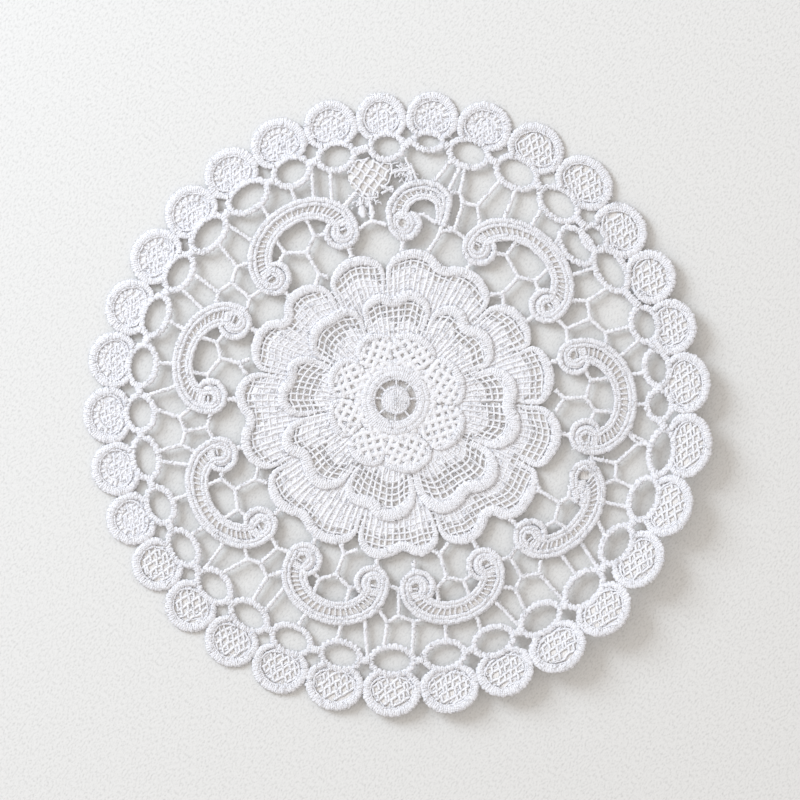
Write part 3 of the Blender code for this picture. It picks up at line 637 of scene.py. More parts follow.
UNDERLAY_THREADS, FINE_UNDERLAY = 8, 30
UNDERLAY_HALF = 0.3
UNDERLAY_FROM, UNDERLAY_TO = 0.5, 0.7
# Heights of the closed slabs that stand for shade, and their share of the lit colour.
SHADE_SLAB_TOP, FINE_SHADE_SLAB_TOP, SHADE_SLAB_BASE = 0.6, 0.66, 0.05
SHADE_SLAB_LIT_SHARE = 0.5


def slab(inner, outer, top, base=SHADE_SLAB_BASE, steps=3, lit_share=SHADE_SLAB_LIT_SHARE):
    """A thin closed slab, all the way round from an inner line of points to an outer one.

    Its section goes out along the top, a little uneven, and back along the base. The last
    argument is its colour's share of the lit tone, the rest painted shade, the same all over.
    """
    share = np.linspace(0.0, 1.0, steps)
    share = np.append(share, share[::-1])
    flat = inner[:, None] + share[:, None] * (outer - inner)[:, None]
    high = np.repeat([top, base], steps) + chance.normal(0.0, 0.03, flat.shape[:2])
    points = np.concatenate([flat, high[..., None]], axis=2)
    quads = grid_faces(*flat.shape[:2])
    thread = flat.reshape(-1, 2)[quads.reshape(-1)]
    caps = np.empty((0, 4), int)
    return Shape(points.reshape(-1, 3), quads, caps, thread, np.full(high.size, lit_share))


# The closed slabs of every section, which one piece takes up with the outer petals. Real lace
# has nothing there: they stand for the pale shade that is seen in small holes, and their colour
# is painted shade.
shade_slabs = []


def fan_shade_slab(number, top, lit_share=SHADE_SLAB_LIT_SHARE):
    """The closed slab on the table under one fan's net, up to its rim and the eyelets': painted
    shade.
    """
    angle, middle, _ = fan_room(number)
    centre = polar(angle, middle)
    edge = fan_edge(number, 2 * FAN_CORD - 1.6, np.arange(0.0, 360.0, 10.0))
    share = np.linspace(0.1, 1.0, 19)
    spots = centre + share[:, None, None] * (edge - centre)
    free = off_ovals(spots.reshape(-1, 2), 1.3).reshape(len(share), -1) > 1
    reach = share[np.maximum(free.cumprod(axis=0).sum(axis=0) - 1, 0)]
    outer = centre + reach[:, None] * (edge - centre)
    return slab(centre + 0.04 * (outer - centre), outer, top, steps=7, lit_share=lit_share)


def fan_underlay():
    """Each fan's closed slab, and straight loose threads across it at random angles."""
    shapes = []
    for number, fan in enumerate(FANS):
        angle, middle, half_wide = fan_room(number)
        if is_fine(fan):
            shapes.append(fan_shade_slab(number, FINE_SHADE_SLAB_TOP, 1.0))
        else:
            shade_slabs.append(fan_shade_slab(number, SHADE_SLAB_TOP))
        at = np.arange(-half_wide - 1.0, half_wide + 1.0, 0.9)
        for way in chance.uniform(0.0, 360.0, FINE_UNDERLAY if is_fine(fan) else UNDERLAY_THREADS):
            side = chance.uniform(-0.8, 0.8) * half_wide
            path = polar(angle, middle) + np.outer(at, polar(way, 1.0))
            path = path + side * polar(way + 90.0, 1.0)
            keep = fan_share(number, 2 * FAN_CORD - 0.5, path) < 1
            keep &= off_ovals(path, NET_ROOM) > 1
            for run in kept(rough(path, 0.25), keep):
                run = at_height(run, chance.uniform(UNDERLAY_FROM, UNDERLAY_TO))
                shapes.append(cord(run, UNDERLAY_HALF, UNDERLAY_HALF, 4, nap=0.1))
    return add_piece("fan_underlay", shapes, wrapped)


underlay = fan_underlay()


# Oval eyelets ------------------------------------------------------------------------------
# The ring of open eyelets that the fans stand on: a padded cord round each, covered with
# buttonhole stitches that stand up like beads, and a knot between every two.

OVAL_CORD, OVAL_CORD_HIGH = 1.2, 0.86
KNOT_HALF, KNOT_HALF_HIGH, KNOT_HIGH = 1.4, 0.98, 1.0


def oval_rims():
    """A closed cord round each eyelet, and a short thick one from each to the one before."""
    shapes = []
    outset = OVAL_CORD - 0.05
    for oval in OVALS + [LOW_OVAL]:
        wide, high = oval.half_wide + outset, oval.half_high + outset
        path = ellipse(oval.angle, oval.radius, wide, high, np.arange(0.0, 360.0, 4.0))
        path = at_height(spaced(path, 0.31, closed=True), OVAL_CORD_HIGH)
        stitches = dict(stitch=1.7, groove=0.38, lean=0.3, nap=0.08)
        shapes.append(cord(path, OVAL_CORD, OVAL_CORD_HIGH, 10, True, **stitches))
    for before, oval in zip([OVALS[-1]] + OVALS, OVALS):
        start, end = (
            ellipse(side.angle, side.radius, side.half_wide + 1.6, 0.0, np.array([turn]))[0]
            for side, turn in ((before, 0.0), (oval, 180.0))
        )
        away = (end - start) / np.linalg.norm(end - start)
        middle, half = (start + end) / 2, max(np.linalg.norm(end - start) / 2, 1.0)
        path = at_height(spaced([middle - half * away, middle + half * away], 0.3), KNOT_HIGH)
        shapes.append(
            cord(path, KNOT_HALF, KNOT_HALF_HIGH, 10, stitch=1.1, groove=0.25, lean=0.25, nap=0.08)
        )
    return add_piece("oval_rims", shapes, satin)


oval_cords = oval_rims()


# Scrolls -----------------------------------------------------------------------------------
# Eight C-shaped scrolls and an odd one with a single curl: a satin roll with a fine line
# inside it runs round the back and winds into a curl at each end, two more lines run along
# the hollow, and thin rungs join the two. Closed slabs under these stand for pale shade.

# How far past the eyelets the back's middle line and the hollow's run, and how far under the
# scroll's top the back's lies. The roll: its half width and height, how far outside that line
# it lies, how much of that width it takes up, and the step of its points.
ROLL_SIDE, ROLL_DEEP = 3.9, 1.2
HOLLOW_SIDE = -1.4
ROLL_HALF, ROLL_HIGH = 1.1, 1.1
ROLL_OUT, ROLL_SHARE, ROLL_STEP = 0.32, 0.89, 0.36
# The fine lines: inside the roll, on both sides of the hollow's line, and the odd scroll's.
RIDGE_HALF, RIDGE_OFF, RIDGE_STEP = 0.79, 1.02, 0.4
HOLLOW_RIDGE = 0.52
ODD_RIDGE_HALF, ODD_RIDGE, ODD_BACK_RIDGE = 0.68, 0.55, -1.7
SCROLL_STITCHES = dict(stitch=0.95, groove=0.17, lean=0.35, nap=0.12)
# Rungs, from the hollow out: their places along, and their half widths and heights there.
RUNG_PITCH = 1.5
RUNG_PLACES = np.array([0.0, 0.35, 0.7, 1.0])
RUNG_HALF = np.array([1.6, 1.1, 0.95, 1.2]) * 0.3
RUNG_HIGH = np.array([1.05, 1.2, 1.2, 1.05])
# A curl's middle lies this far inwards of its eyelet's. A low pad round the eye; painted shade
# under it and along the band between the lines. Loose threads cross the odd scroll's tail.
CURL_SHIFT = 0.8
PAD_RADIUS, PAD_HALF, PAD_THIN, PAD_HIGH = 2.9, 1.5, 0.62, 0.75
EYE_BACK, EYE_WIDE, FLAT_EYE_WIDE = 0.3, 2.3, 3.4
BAND_BACK, BAND_HALF, BAND_THIN = 0.5, 1.6, 0.2
TAIL_THREADS, TAIL_HALF = 90, 0.26
# How a curl's roll winds in: degrees from the back's end, its radius and half its width.
CURL_TURNS = np.array(
    [(0, 4.75, 1.1), (90, 4.4, 1.15), (180, 4.35, 1.2), (225, 4.1, 1.0), (250, 3.7, 0.7)], float
)
CURL_UNTIL, RIDGE_UNTIL = 251.0, 30.0
# How the two lines of the hollow wind round the eye: degrees, and the radius of each.
EYE_TURNS = np.array(
    [(235, 1.9, 3.1), (180, 1.95, 3.15), (90, 1.95, 3.05), (0, 2.0, 2.9), (-40, 2.15, 3.2)], float
)

# A scroll: the places of its left and right eyelets, the radius of its top, and how far under
# the top its hollow runs.
Scroll = namedtuple("Scroll", "left left_radius right right_radius top hollow")
SCROLLS = table(Scroll, [
    (-10.0, 60.4, 15.7, 57.9, 75.7, 6.2), (33.3, 56.6, 63.3, 56.0, 71.6, 5.6),
    (107.7, 57.9, 135.3, 56.6, 73.1, 5.7), (152.7, 58.5, 178.0, 60.1, 73.5, 5.3),
    (195.0, 58.8, 221.3, 58.2, 73.8, 5.9), (238.0, 57.6, 262.0, 57.2, 73.3, 6.2),
    (275.3, 58.2, 298.7, 57.6, 71.9, 6.1), (314.5, 59.1, 339.0, 62.0, 73.1, 5.7),
])
FLAT_CURL = 339.0
Place = namedtuple("Place", "angle radius")
# The odd scroll: its curl, its back, its hollow, and the middle that its lines lie round.
ODD_CURL = Place(88.7, 57.6)
ODD_BACK = table(Place, [
    (93.4, 60.4), (92.6, 64.0), (90.3, 67.8), (87.2, 70.3), (83.4, 71.3), (79.8, 70.9),
    (77.2, 69.3), (75.9, 66.6), (75.8, 62.5), (76.0, 58.6),
])
ODD_HOLLOW = table(Place, [
    (88.6, 60.2), (88.2, 62.8), (86.6, 65.2), (84.0, 66.8), (81.0, 66.8), (79.0, 65.4),
    (78.0, 62.6), (77.8, 58.8),
])
ODD_MIDDLE = Place(84.0, 64.0)
# The flat curl at the end of one scroll: its roll goes round under the eye and back below the
# rungs, over a flat pad of long stitches that fills its band, as wide as this along it.
FLAT_END = table(Place, [
    (343.4, 65.4), (342.9, 62.4), (341.2, 60.0), (338.6, 59.4), (336.0, 60.6), (333.6, 62.4),
    (331.4, 64.6),
])
FLAT_PAD = table(Place, [(337.5, 62.5), (335.7, 63.6), (333.9, 65.1), (332.1, 66.6)])
FLAT_PAD_WIDE = (0.0, 0.3, 1.0), (2.5, 2.7, 1.6)
FLAT_EYE = Place(340.0, 64.0)


def places(rows):
    """The points of a row of places."""
    return polar([row.angle for row in rows], [row.radius for row in rows])


def is_flat(scroll):
    """Whether a scroll ends in the flat curl."""
    return scroll.right == FLAT_CURL


def scroll_arch(scroll, side, deep, turn):
    """An arch over both eyelets, past them by side and under the scroll's top by deep.

    Half an ellipse: the angle goes with the turn's cosine and the radius with its sine, from a
    base that slopes from one eyelet's radius to the other's.
    """
    turn = np.radians(turn)
    middle = (scroll.left + scroll.right) / 2
    half = (scroll.right - scroll.left) / 2
    share = (1 + np.cos(turn)) / 2
    base = scroll.left_radius + (scroll.right_radius - scroll.left_radius) * share
    angle = middle + (half + np.degrees(side / base)) * np.cos(turn)
    rise = scroll.top - deep - (scroll.left_radius + scroll.right_radius) / 2
    return polar(angle, base + rise * np.sin(turn))


def curl_middle(angle, radius, inward):
    """A curl's middle: its eyelet's, moved along the ring towards the scroll's own middle."""
    return polar(angle + inward * np.degrees(CURL_SHIFT / radius), radius)


def round_eye(middle, angle, inward, turn, reach):
    """Points at these turns from the back's end, inwards round a middle, and at these distances."""
    outward, along = ways_at(angle)
    turn = np.radians(turn)
    path = middle - inward * np.outer(reach * np.cos(turn), along)
    return path - np.outer(reach * np.sin(turn), outward)


def curl(angle, radius, inward, off, until):
    """A curl's line from its back end inwards, off its middle line by off, and its half width."""
    turn = np.arange(0.0, until, 6.0)
    reach = np.interp(turn, CURL_TURNS[:, 0], CURL_TURNS[:, 1]) + off
    wide = np.interp(turn, CURL_TURNS[:, 0], CURL_TURNS[:, 2])
    return round_eye(curl_middle(angle, radius, inward), angle, inward, turn, reach), wide


def eye_wind(angle, radius, inward, which):
    """The line with which the hollow's first or second line winds round the eye of a curl."""
    turn = np.arange(EYE_TURNS[0, 0], EYE_TURNS[-1, 0] - 1, -8.0)
    reach = np.interp(-turn, -EYE_TURNS[:, 0], EYE_TURNS[:, 1 + which])
    return round_eye(polar(angle, radius), angle, inward, turn, reach)


def round_slab(middle, radius, top):
    """A thin low slab in a circle, closed but for a pinprick in its middle."""
    turn = np.arange(0.0, 360.0, 15.0)
    return slab(polar(turn, 0.1, middle), polar(turn, radius, middle), top)


def curl_pad(angle, radius):
    """The low round pad of a curl, between its turns; a thin slab of painted shade goes under its
    eye.
    """
    middle = polar(angle, radius)
    shade_slabs.append(round_slab(middle, EYE_WIDE, EYE_BACK))
    path = polar(np.arange(0.0, 360.0, 12.0), PAD_RADIUS, middle)
    return cord(at_height(path, PAD_HIGH), PAD_HALF, PAD_THIN, 8, True)


def shifted(line, middle, off):
    """A line with each point moved straight away from a middle, by off."""
    away = line - polar(*middle)
    return line + off * away / np.linalg.norm(away, axis=1)[:, None]


def roll_line(scroll, off, until):
    """The line along a scroll's back and round both its curls, and its half width."""
    left, left_wide = curl(scroll.left, scroll.left_radius, 1, off, until)
    back = scroll_arch(scroll, ROLL_SIDE + off, ROLL_DEEP - off, np.linspace(3.0, 177.0, 60))
    if is_flat(scroll):
        right = shifted(eased(spaced(places(FLAT_END), 0.6), 4), FLAT_EYE, off)
        right_wide = np.linspace(1.1, 0.95, len(right))
    else:
        right, right_wide = curl(scroll.right, scroll.right_radius, -1, off, until)
    wide = np.concatenate([right_wide[::-1], np.full(len(back), ROLL_HALF), left_wide])
    return np.vstack([right[::-1], back, left]), wide


def even_cord(line, wide, step, high, sides):
    """A satin cord along a line, with its half width read off at even steps."""
    length = np.append(0.0, np.cumsum(np.linalg.norm(np.diff(line, axis=0), axis=1)))
    path = spaced(line, step)
    along = np.linspace(0.0, length[-1], len(path))
    wide = np.interp(along, length, np.broadcast_to(wide, len(line)))
    path = at_height(rough(eased(path, 2), 0.1), high)
    return cord(path, wide, wide, sides, **SCROLL_STITCHES)


def read_off(line, at):
    """The points of a line at these numbers of its points, between two where they aren't whole."""
    return np.stack([np.interp(at, np.arange(len(line)), axis) for axis in line.T], axis=1)


def rungs(outer, inner):
    """Thin threads from one line to the other, an even pitch apart, thick at the inner end."""
    length = np.linalg.norm(np.diff((outer + inner) / 2, axis=0), axis=1).sum()
    count = int(length / RUNG_PITCH)
    at = np.linspace(0.0, len(outer) - 1.0, count) + chance.normal(0.0, 0.12, count)
    shapes = []
    for start, end in zip(read_off(inner, at), read_off(outer, at)):
        path = rough(start + RUNG_PLACES[:, None] * (end - start), 0.14)
        shapes.append(cord(at_height(path, RUNG_HIGH), RUNG_HALF, RUNG_HALF, 6))
    return shapes


def shade_band(outer, inner):
    """The thin cord low down that fills the band between two lines, under the rungs: painted shade.
    """
    path = at_height(spaced((outer + inner) / 2, 1.0), BAND_BACK)
    return cord(path, BAND_HALF, BAND_THIN, 6)


def scroll_parts(scroll):
    """One C-shaped scroll: its roll, the line inside it, pads, the hollow's lines and rungs."""
    ends = [(scroll.right, scroll.right_radius, -1), (scroll.left, scroll.left_radius, 1)]
    line, wide = roll_line(scroll, ROLL_OUT, CURL_UNTIL)
    shapes = [even_cord(line, ROLL_SHARE * wide, ROLL_STEP, ROLL_HIGH, 10)]
    line, _ = roll_line(scroll, -RIDGE_OFF, RIDGE_UNTIL)
    shapes.append(even_cord(line, RIDGE_HALF, RIDGE_STEP, 1.15, 7))
    shapes.extend(curl_pad(*end[:2]) for end in ends if end[0] != FLAT_CURL)
    for which, off in enumerate((HOLLOW_RIDGE, -HOLLOW_RIDGE)):
        turn = np.linspace(0.0, 180.0, 120)
        line = scroll_arch(scroll, HOLLOW_SIDE + off, scroll.hollow - off, turn)
        clear = np.ones(len(line), bool)
        for angle, radius, _ in ends:
            clear &= np.linalg.norm(line - polar(angle, radius), axis=1) > 3.6 + which
        line = kept(line, clear)[0]
        winds = [eye_wind(*end, which) if end[0] != FLAT_CURL else line[:0] for end in ends]
        line = eased(spaced(np.vstack([winds[0][::-1], line, winds[1]]), 0.4), 5)
        shapes.append(even_cord(line, RIDGE_HALF, RIDGE_STEP, 1.05, 8))
    if is_flat(scroll):
        path = eased(spaced(places(FLAT_PAD), 0.5), 3)
        wide = np.interp(np.linspace(0.0, 1.0, len(path)), *FLAT_PAD_WIDE)
        path = at_height(path, 1.0)
        shapes.append(cord(path, wide, 0.75, 14, stitch=0.9, groove=0.3, lean=0.35, nap=0.3))
    turn = np.linspace(22.0 if is_flat(scroll) else 4.0, 176.0, 120)
    outer = scroll_arch(scroll, ROLL_SIDE - RIDGE_OFF, ROLL_DEEP + RIDGE_OFF, turn)
    inner = scroll_arch(scroll, HOLLOW_SIDE + HOLLOW_RIDGE, scroll.hollow - HOLLOW_RIDGE, turn)
    shapes.extend(rungs(outer, inner))
    shade_slabs.append(shade_band(outer, inner))
    if is_flat(scroll):
        shade_slabs.append(round_slab(polar(*FLAT_EYE), FLAT_EYE_WIDE, EYE_BACK))
    return shapes


def odd_parts():
    """The scroll with one curl: its roll and its hollow's lines both run down into a plain tail.

    Loose threads cross its rungs every way, from the middle down to the tail.
    """
    end = (ODD_CURL.angle, ODD_CURL.radius, -1)
    line, wide = curl(*end, 0.0, CURL_UNTIL)
    back, hollow = (eased(spaced(places(rows), 0.6), 6) for rows in (ODD_BACK, ODD_HOLLOW))
    roll = np.vstack([line[::-1], back[2:]])
    wide = np.concatenate([wide[::-1], np.full(len(back) - 2, ROLL_HALF)])
    shapes = [even_cord(roll, wide, ROLL_STEP, ROLL_HIGH, 10), curl_pad(*end[:2])]
    lines = [shifted(back, ODD_MIDDLE, ODD_BACK_RIDGE)]
    for which, off in enumerate((ODD_RIDGE, -ODD_RIDGE)):
        line = np.vstack([eye_wind(*end, which)[::-1], shifted(hollow, ODD_MIDDLE, off)])
        lines.append(eased(spaced(line, 0.4), 5))
    shapes.extend(even_cord(line, ODD_RIDGE_HALF, RIDGE_STEP, 1.1, 8) for line in lines)
    share = np.linspace(0.0, 0.86, 60)
    outer, inner = (read_off(path, share * (len(path) - 1)) for path in (back, hollow))
    shapes.extend(rungs(outer + 0.35 * (inner - outer), inner))
    shade_slabs.append(shade_band(outer, inner))
    ways = chance.uniform(0.0, 360.0, TAIL_THREADS)
    for way, place in zip(ways, chance.integers(26, 60, TAIL_THREADS)):
        spot = outer[place] + chance.uniform(0.1, 1.1) * (inner[place] - outer[place])
        path = rough(spot + np.outer(np.arange(-0.8, 0.9, 0.4), polar(way, 1.0)), 0.25)
        shapes.append(cord(at_height(path, chance.uniform(0.8, 1.5)), TAIL_HALF, TAIL_HALF, 4))
    return shapes


scroll_shapes = [shape for scroll in SCROLLS for shape in scroll_parts(scroll)]
scrolls = add_piece("scroll_cords", scroll_shapes + odd_parts(), satin)


# Bars --------------------------------------------------------------------------------------
# Thin wrapped bars that hold the scrolls between the eyelets and the flower: single ones,
# Y-shaped forks between two scrolls, ties inside a scroll, and a knot under each curl.

BAR_HALF, BAR_THICK, BAR_HIGH = 0.76, 0.75, 0.8
BAR_STEP = 0.24
# Bars widen at their ends by this share, which falls off over this length, and end this far
# inside the scroll.
BAR_FLARE, FLARE_LONG = 0.45, 0.7
BAR_SINK = 0.6
# Where feet and heads end: a scroll's back reaches this far past its eyelets, with a radius for
# feet beside it, and a head ends this far outside an eyelet, with a radius for heads beside one.
BACK_SIDE, BACK_LOWEST = 5.1, 70.4
HEAD_ROOM, HEAD_HIGHEST = 1.3, 81.5
# How far to the side and how far down the short arms of forks and ties end, and a tie's arch.
FORK_FOOT_TURN = 2.6
CROSS_TIE_TURN, CROSS_TIE_DROP = 4.0, 1.3
TIE_ARM_TURN, TIE_ARM_DROP = 3.2, 1.2
TIE_ARCH_DROP = 2.8
# The knot under each curl: from and to this far below the eyelet's middle, and its half width.
KNOT_FROM, KNOT_TO, BAR_KNOT_HALF = 4.9, 8.6, 0.85

# A single bar: the angles of its foot on the scroll and of its head under an eyelet.
Bar = namedtuple("Bar", "foot head")
BARS = table(Bar, [
    (0.2, 0.2), (7.5, 7.5), (12.5, 15.2), (37.0, 35.0), (45.8, 47.2), (53.5, 54.0), (60.5, 61.5),
    (77.0, 75.5), (82.0, 77.7), (108.3, 106.3), (112.5, 110.0), (117.0, 116.4), (124.8, 124.4),
    (131.8, 133.7), (154.0, 151.8), (160.5, 159.8), (169.5, 170.2), (175.0, 178.0), (196.0, 193.2),
    (203.0, 202.8), (212.0, 212.0), (218.2, 220.2), (238.0, 236.9), (246.0, 245.4), (255.3, 255.3),
    (261.0, 263.0), (282.0, 281.4), (290.3, 290.0), (296.0, 298.7), (317.3, 316.2), (323.0, 320.6),
    (330.0, 327.6), (334.5, 336.0), (353.3, 351.0),
])
# A fork between two scrolls: the crooks of its two arms, the valley where they meet, its two
# heads under the eyelets, and the cross tie that its stalk runs down to.
Fork = namedtuple(
    "Fork",
    "left left_radius valley valley_radius right right_radius left_head right_head tie tie_radius",
)
FORKS = table(Fork, [
    (19.2, 69.6, 24.3, 66.6, 28.8, 68.4, 18.7, 29.3, 24.4, 58.5),
    (68.5, 68.0, 72.4, 67.4, 73.8, 70.0, 65.6, 74.5, 72.3, 58.2),
    (139.5, 67.7, 143.8, 65.8, 148.0, 67.7, 138.2, 147.4, 144.3, 58.3),
    (183.2, 69.9, 187.0, 68.4, 190.4, 70.2, 180.8, 190.9, 186.7, 61.3),
    (225.5, 68.6, 228.8, 66.8, 232.5, 68.8, 223.5, 233.3, 229.6, 59.6),
    (267.0, 69.2, 270.0, 67.0, 274.0, 69.0, 266.4, 273.0, 269.9, 58.5),
    (302.3, 69.3, 305.5, 67.1, 309.8, 69.7, 301.5, 310.0, 306.2, 59.8),
    (341.0, 72.8, 345.0, 71.5, 350.8, 77.0, 340.5, 351.0, 344.6, 63.5),
])
# The ties inside a scroll: the radius of their tops, the crooks of the two arms, the node where
# they meet, and the foot that stands on a small arch.
Tie = namedtuple(
    "Tie",
    "top left left_radius right right_radius node node_radius foot_radius left_foot right_foot",
)
TIES = table(Tie, [
    (68.7, -1.8, 62.3, 7.3, 61.4, 2.3, 59.5, 52.6, -2.6, 5.6),
    (64.8, 42.3, 58.5, 54.3, 58.5, 47.0, 55.6, 48.3, 42.6, 50.6),
    (66.0, 116.5, 60.1, 126.8, 60.4, 121.3, 56.6, 49.0, 119.0, 125.0),
    (66.8, 161.0, 61.1, 171.0, 61.7, 165.3, 58.5, 52.4, 162.8, 168.6),
    (66.8, 202.7, 61.1, 213.0, 61.0, 207.3, 58.5, 51.4, 203.6, 210.6),
    (66.0, 245.5, 60.7, 255.0, 60.1, 249.7, 57.5, 50.6, 247.4, 254.0),
    (65.0, 281.5, 59.5, 290.3, 59.5, 285.4, 56.9, 49.3, 281.6, 289.6),
    (66.4, 323.5, 61.7, 331.5, 61.4, 328.7, 59.8, 52.5, 326.0, 331.0),
])
ODD_BARS = [
    table(Place, path)
    for path in (
        ((84.6, 60.2), (83.0, 61.1), (78.4, 59.2)), ((75.0, 58.8), (72.3, 58.2)),
        ((76.4, 58.8), (77.0, 54.6), (79.3, 49.5)), ((94.6, 69.6), (91.4, 68.0)),
        ((101.2, 69.0), (105.2, 65.6)), ((98.3, 60.6), (98.4, 58.7)),
        ((94.0, 57.4), (96.6, 58.5), (98.4, 58.9), (100.2, 58.5), (104.2, 56.6)),
    )
]


def back_radius(angle):
    """Where a bar at this angle runs into the back of the scroll under it.

    The back is half an ellipse between the scroll's ends, up to its top.
    """
    for scroll in SCROLLS:
        middle = (scroll.left + scroll.right) / 2
        half = (scroll.right - scroll.left) / 2 + np.degrees(BACK_SIDE / scroll.left_radius)
        off = (angle - middle + 180.0) % 360.0 - 180.0
        if abs(off) < half:
            base = (scroll.left_radius + scroll.right_radius) / 2
            return base + (scroll.top - base) * np.sqrt(1 - (off / half) ** 2) - BAR_SINK
    return BACK_LOWEST - BAR_SINK


def head_place(angle):
    """The end of a bar at this angle, just inside the rim of the nearest eyelet above it."""
    reach = np.linspace(70.0, 86.0, 161)
    inside = off_ovals(polar(np.full(161, angle), reach), HEAD_ROOM) < 1
    return Place(angle, reach[inside][0] if inside.any() else HEAD_HIGHEST)


def wrapped_bar(*ends, half=BAR_HALF):
    """A round bar through places, bumpy with its wrapping and wider at its ends.

    Its half width is half times 1 + BAR_FLARE * exp(-distance from the end / FLARE_LONG).
    """
    path = rough(eased(spaced(polar(*zip(*ends)), BAR_STEP), 5), 0.07)
    gone = np.arange(len(path)) * BAR_STEP
    flare = BAR_FLARE * np.exp(-np.minimum(gone, gone[::-1]) / FLARE_LONG)
    wide = half * (1 + flare) * chance.normal(1.0, 0.07, len(path))
    path, thick = at_height(path, BAR_HIGH), np.minimum(wide, BAR_THICK)
    return cord(path, wide, thick, 7, stitch=1.15, groove=0.42, lean=0.5, nap=0.09)


def foot_place(angle):
    """The foot of a bar at this angle, in the scroll's back."""
    return Place(angle, back_radius(angle))


def fork_lines(fork):
    """The places that each bar of a fork runs through."""
    left, right = Place(fork.left, fork.left_radius), Place(fork.right, fork.right_radius)
    valley, tie = Place(fork.valley, fork.valley_radius), Place(fork.tie, fork.tie_radius)
    left_tie, right_tie = (
        Place(fork.tie + turn, fork.tie_radius - CROSS_TIE_DROP)
        for turn in (-CROSS_TIE_TURN, CROSS_TIE_TURN)
    )
    return [
        (foot_place(fork.left - FORK_FOOT_TURN), left, valley),
        (valley, right, foot_place(fork.right + FORK_FOOT_TURN)),
        (left, head_place(fork.left_head)),
        (right, head_place(fork.right_head)),
        (valley, tie),
        (left_tie, tie, right_tie),
    ]


def tie_lines(tie):
    """The places that each of the ties inside a scroll runs through."""
    left, right = Place(tie.left, tie.left_radius), Place(tie.right, tie.right_radius)
    node, foot = Place(tie.node, tie.node_radius), Place(tie.node, tie.foot_radius)
    left_foot, right_foot = (
        Place(angle, tie.foot_radius - TIE_ARCH_DROP) for angle in (tie.left_foot, tie.right_foot)
    )
    return [
        (left, Place(tie.left, tie.top)),
        (right, Place(tie.right, tie.top)),
        (Place(tie.left - TIE_ARM_TURN, tie.left_radius - TIE_ARM_DROP), left, node),
        (node, right, Place(tie.right + TIE_ARM_TURN, tie.right_radius - TIE_ARM_DROP)),
        (node, foot),
        (left_foot, foot, right_foot),
    ]


def bars():
    """Every bar in turn: the single ones, forks, ties, knots and those of the odd scroll."""
    shapes = [wrapped_bar(foot_place(bar.foot), head_place(bar.head)) for bar in BARS]
    shapes.extend(wrapped_bar(*line) for fork in FORKS for line in fork_lines(fork))
    shapes.extend(wrapped_bar(*line) for tie in TIES for line in tie_lines(tie))
    curls = [Place(scroll.left, scroll.left_radius) for scroll in SCROLLS]
    curls += [Place(scroll.right, scroll.right_radius) for scroll in SCROLLS if not is_flat(scroll)]
    for angle, radius in curls + [ODD_CURL]:
        ends = Place(angle, radius - KNOT_FROM), Place(angle, radius - KNOT_TO)
        shapes.append(wrapped_bar(*ends, half=BAR_KNOT_HALF))
    shapes.extend(wrapped_bar(*line) for line in ODD_BARS)
    return add_piece("bars", shapes, wrapped)


wrapped_bars = bars()


# The patch of mesh -------------------------------------------------------------------------
# A patch of wide diamond mesh between the odd scroll and its neighbour, over a closed slab of
# painted shade, with two small leaves and their stalks under it, and tufts of loose thread beside
# it.

MESH_PATCH = table(Place, [
    (102.9, 74.1), (101.5, 78.8), (97.0, 79.0), (91.7, 76.5), (92.5, 71.5), (95.8, 66.4),
    (99.9, 67.2), (102.6, 70.5),
])
MESH_LEANS = (57.0, 143.0)
MESH_PITCH, MESH_ROWS = 2.5, np.arange(-4, 5) + 0.3
MESH_THREAD, MESH_HIGH, MESH_STEP = 0.42, 0.9, 0.45
# The runs of the patch's edge that have a thread of their own, as shares of the way round.
EDGE_RUNS = ((0.02, 0.3), (0.36, 0.62), (0.68, 0.9))
LEAVES = [Oval(100.7, 62.6, 1.5, 2.1), Oval(98.0, 62.0, 1.3, 2.1)]
LEAF_WIDE = np.array([0.25, 0.6, 0.85, 1.0, 1.0, 0.95, 0.8, 0.6, 0.4])
STALKS = [
    table(Place, path)
    for path in (
        ((100.6, 67.2), (100.7, 63.6)), ((98.0, 66.6), (98.2, 63.4)),
        ((91.6, 69.4), (94.8, 67.4)), ((89.6, 74.6), (92.4, 73.4)),
        ((88.6, 78.6), (87.0, 75.0)), ((87.2, 76.2), (85.4, 71.6)),
    )
]
Tuft = namedtuple("Tuft", "angle radius lean long wide threads")
TUFTS = [Tuft(88.2, 73.6, -50.0, 2.0, 1.3, 110), Tuft(99.4, 65.6, 10.0, 2.1, 1.2, 70)]


def inside(outline, points):
    """Which points lie inside a closed outline, by counting the sides to the right of each."""
    start, end = outline, np.roll(outline, -1, axis=0)
    x, y = points[:, 0, None], points[:, 1, None]
    spans = (start[:, 1] > y) != (end[:, 1] > y)
    rise = np.where(start[:, 1] == end[:, 1], 1.0, end[:, 1] - start[:, 1])
    cross = start[:, 0] + (y - start[:, 1]) * (end[:, 0] - start[:, 0]) / rise
    return (spans & (x < cross)).sum(axis=1) % 2 == 1


def mesh_threads(patch, middle):
    """Two sets of straight threads across a patch, each an even pitch apart along the other."""
    shapes = []
    for lean, other in (MESH_LEANS, MESH_LEANS[::-1]):
        slant = abs(np.sin(np.radians(lean - other)))
        for k in MESH_ROWS:
            path = middle + np.outer(np.arange(-9.0, 9.0, MESH_STEP), polar(lean, 1.0))
            path = path + MESH_PITCH / slant * k * polar(other, 1.0)
            path = eased(rough(path, 0.3), 2)
            for run in kept(path, inside(patch, path) & (off_ovals(path, 1.0) > 1)):
                run = at_height(run, MESH_HIGH)
                stitches = dict(stitch=0.9, groove=0.25, nap=0.2)
                shapes.append(cord(run, MESH_THREAD, MESH_THREAD, 6, **stitches))
    return shapes


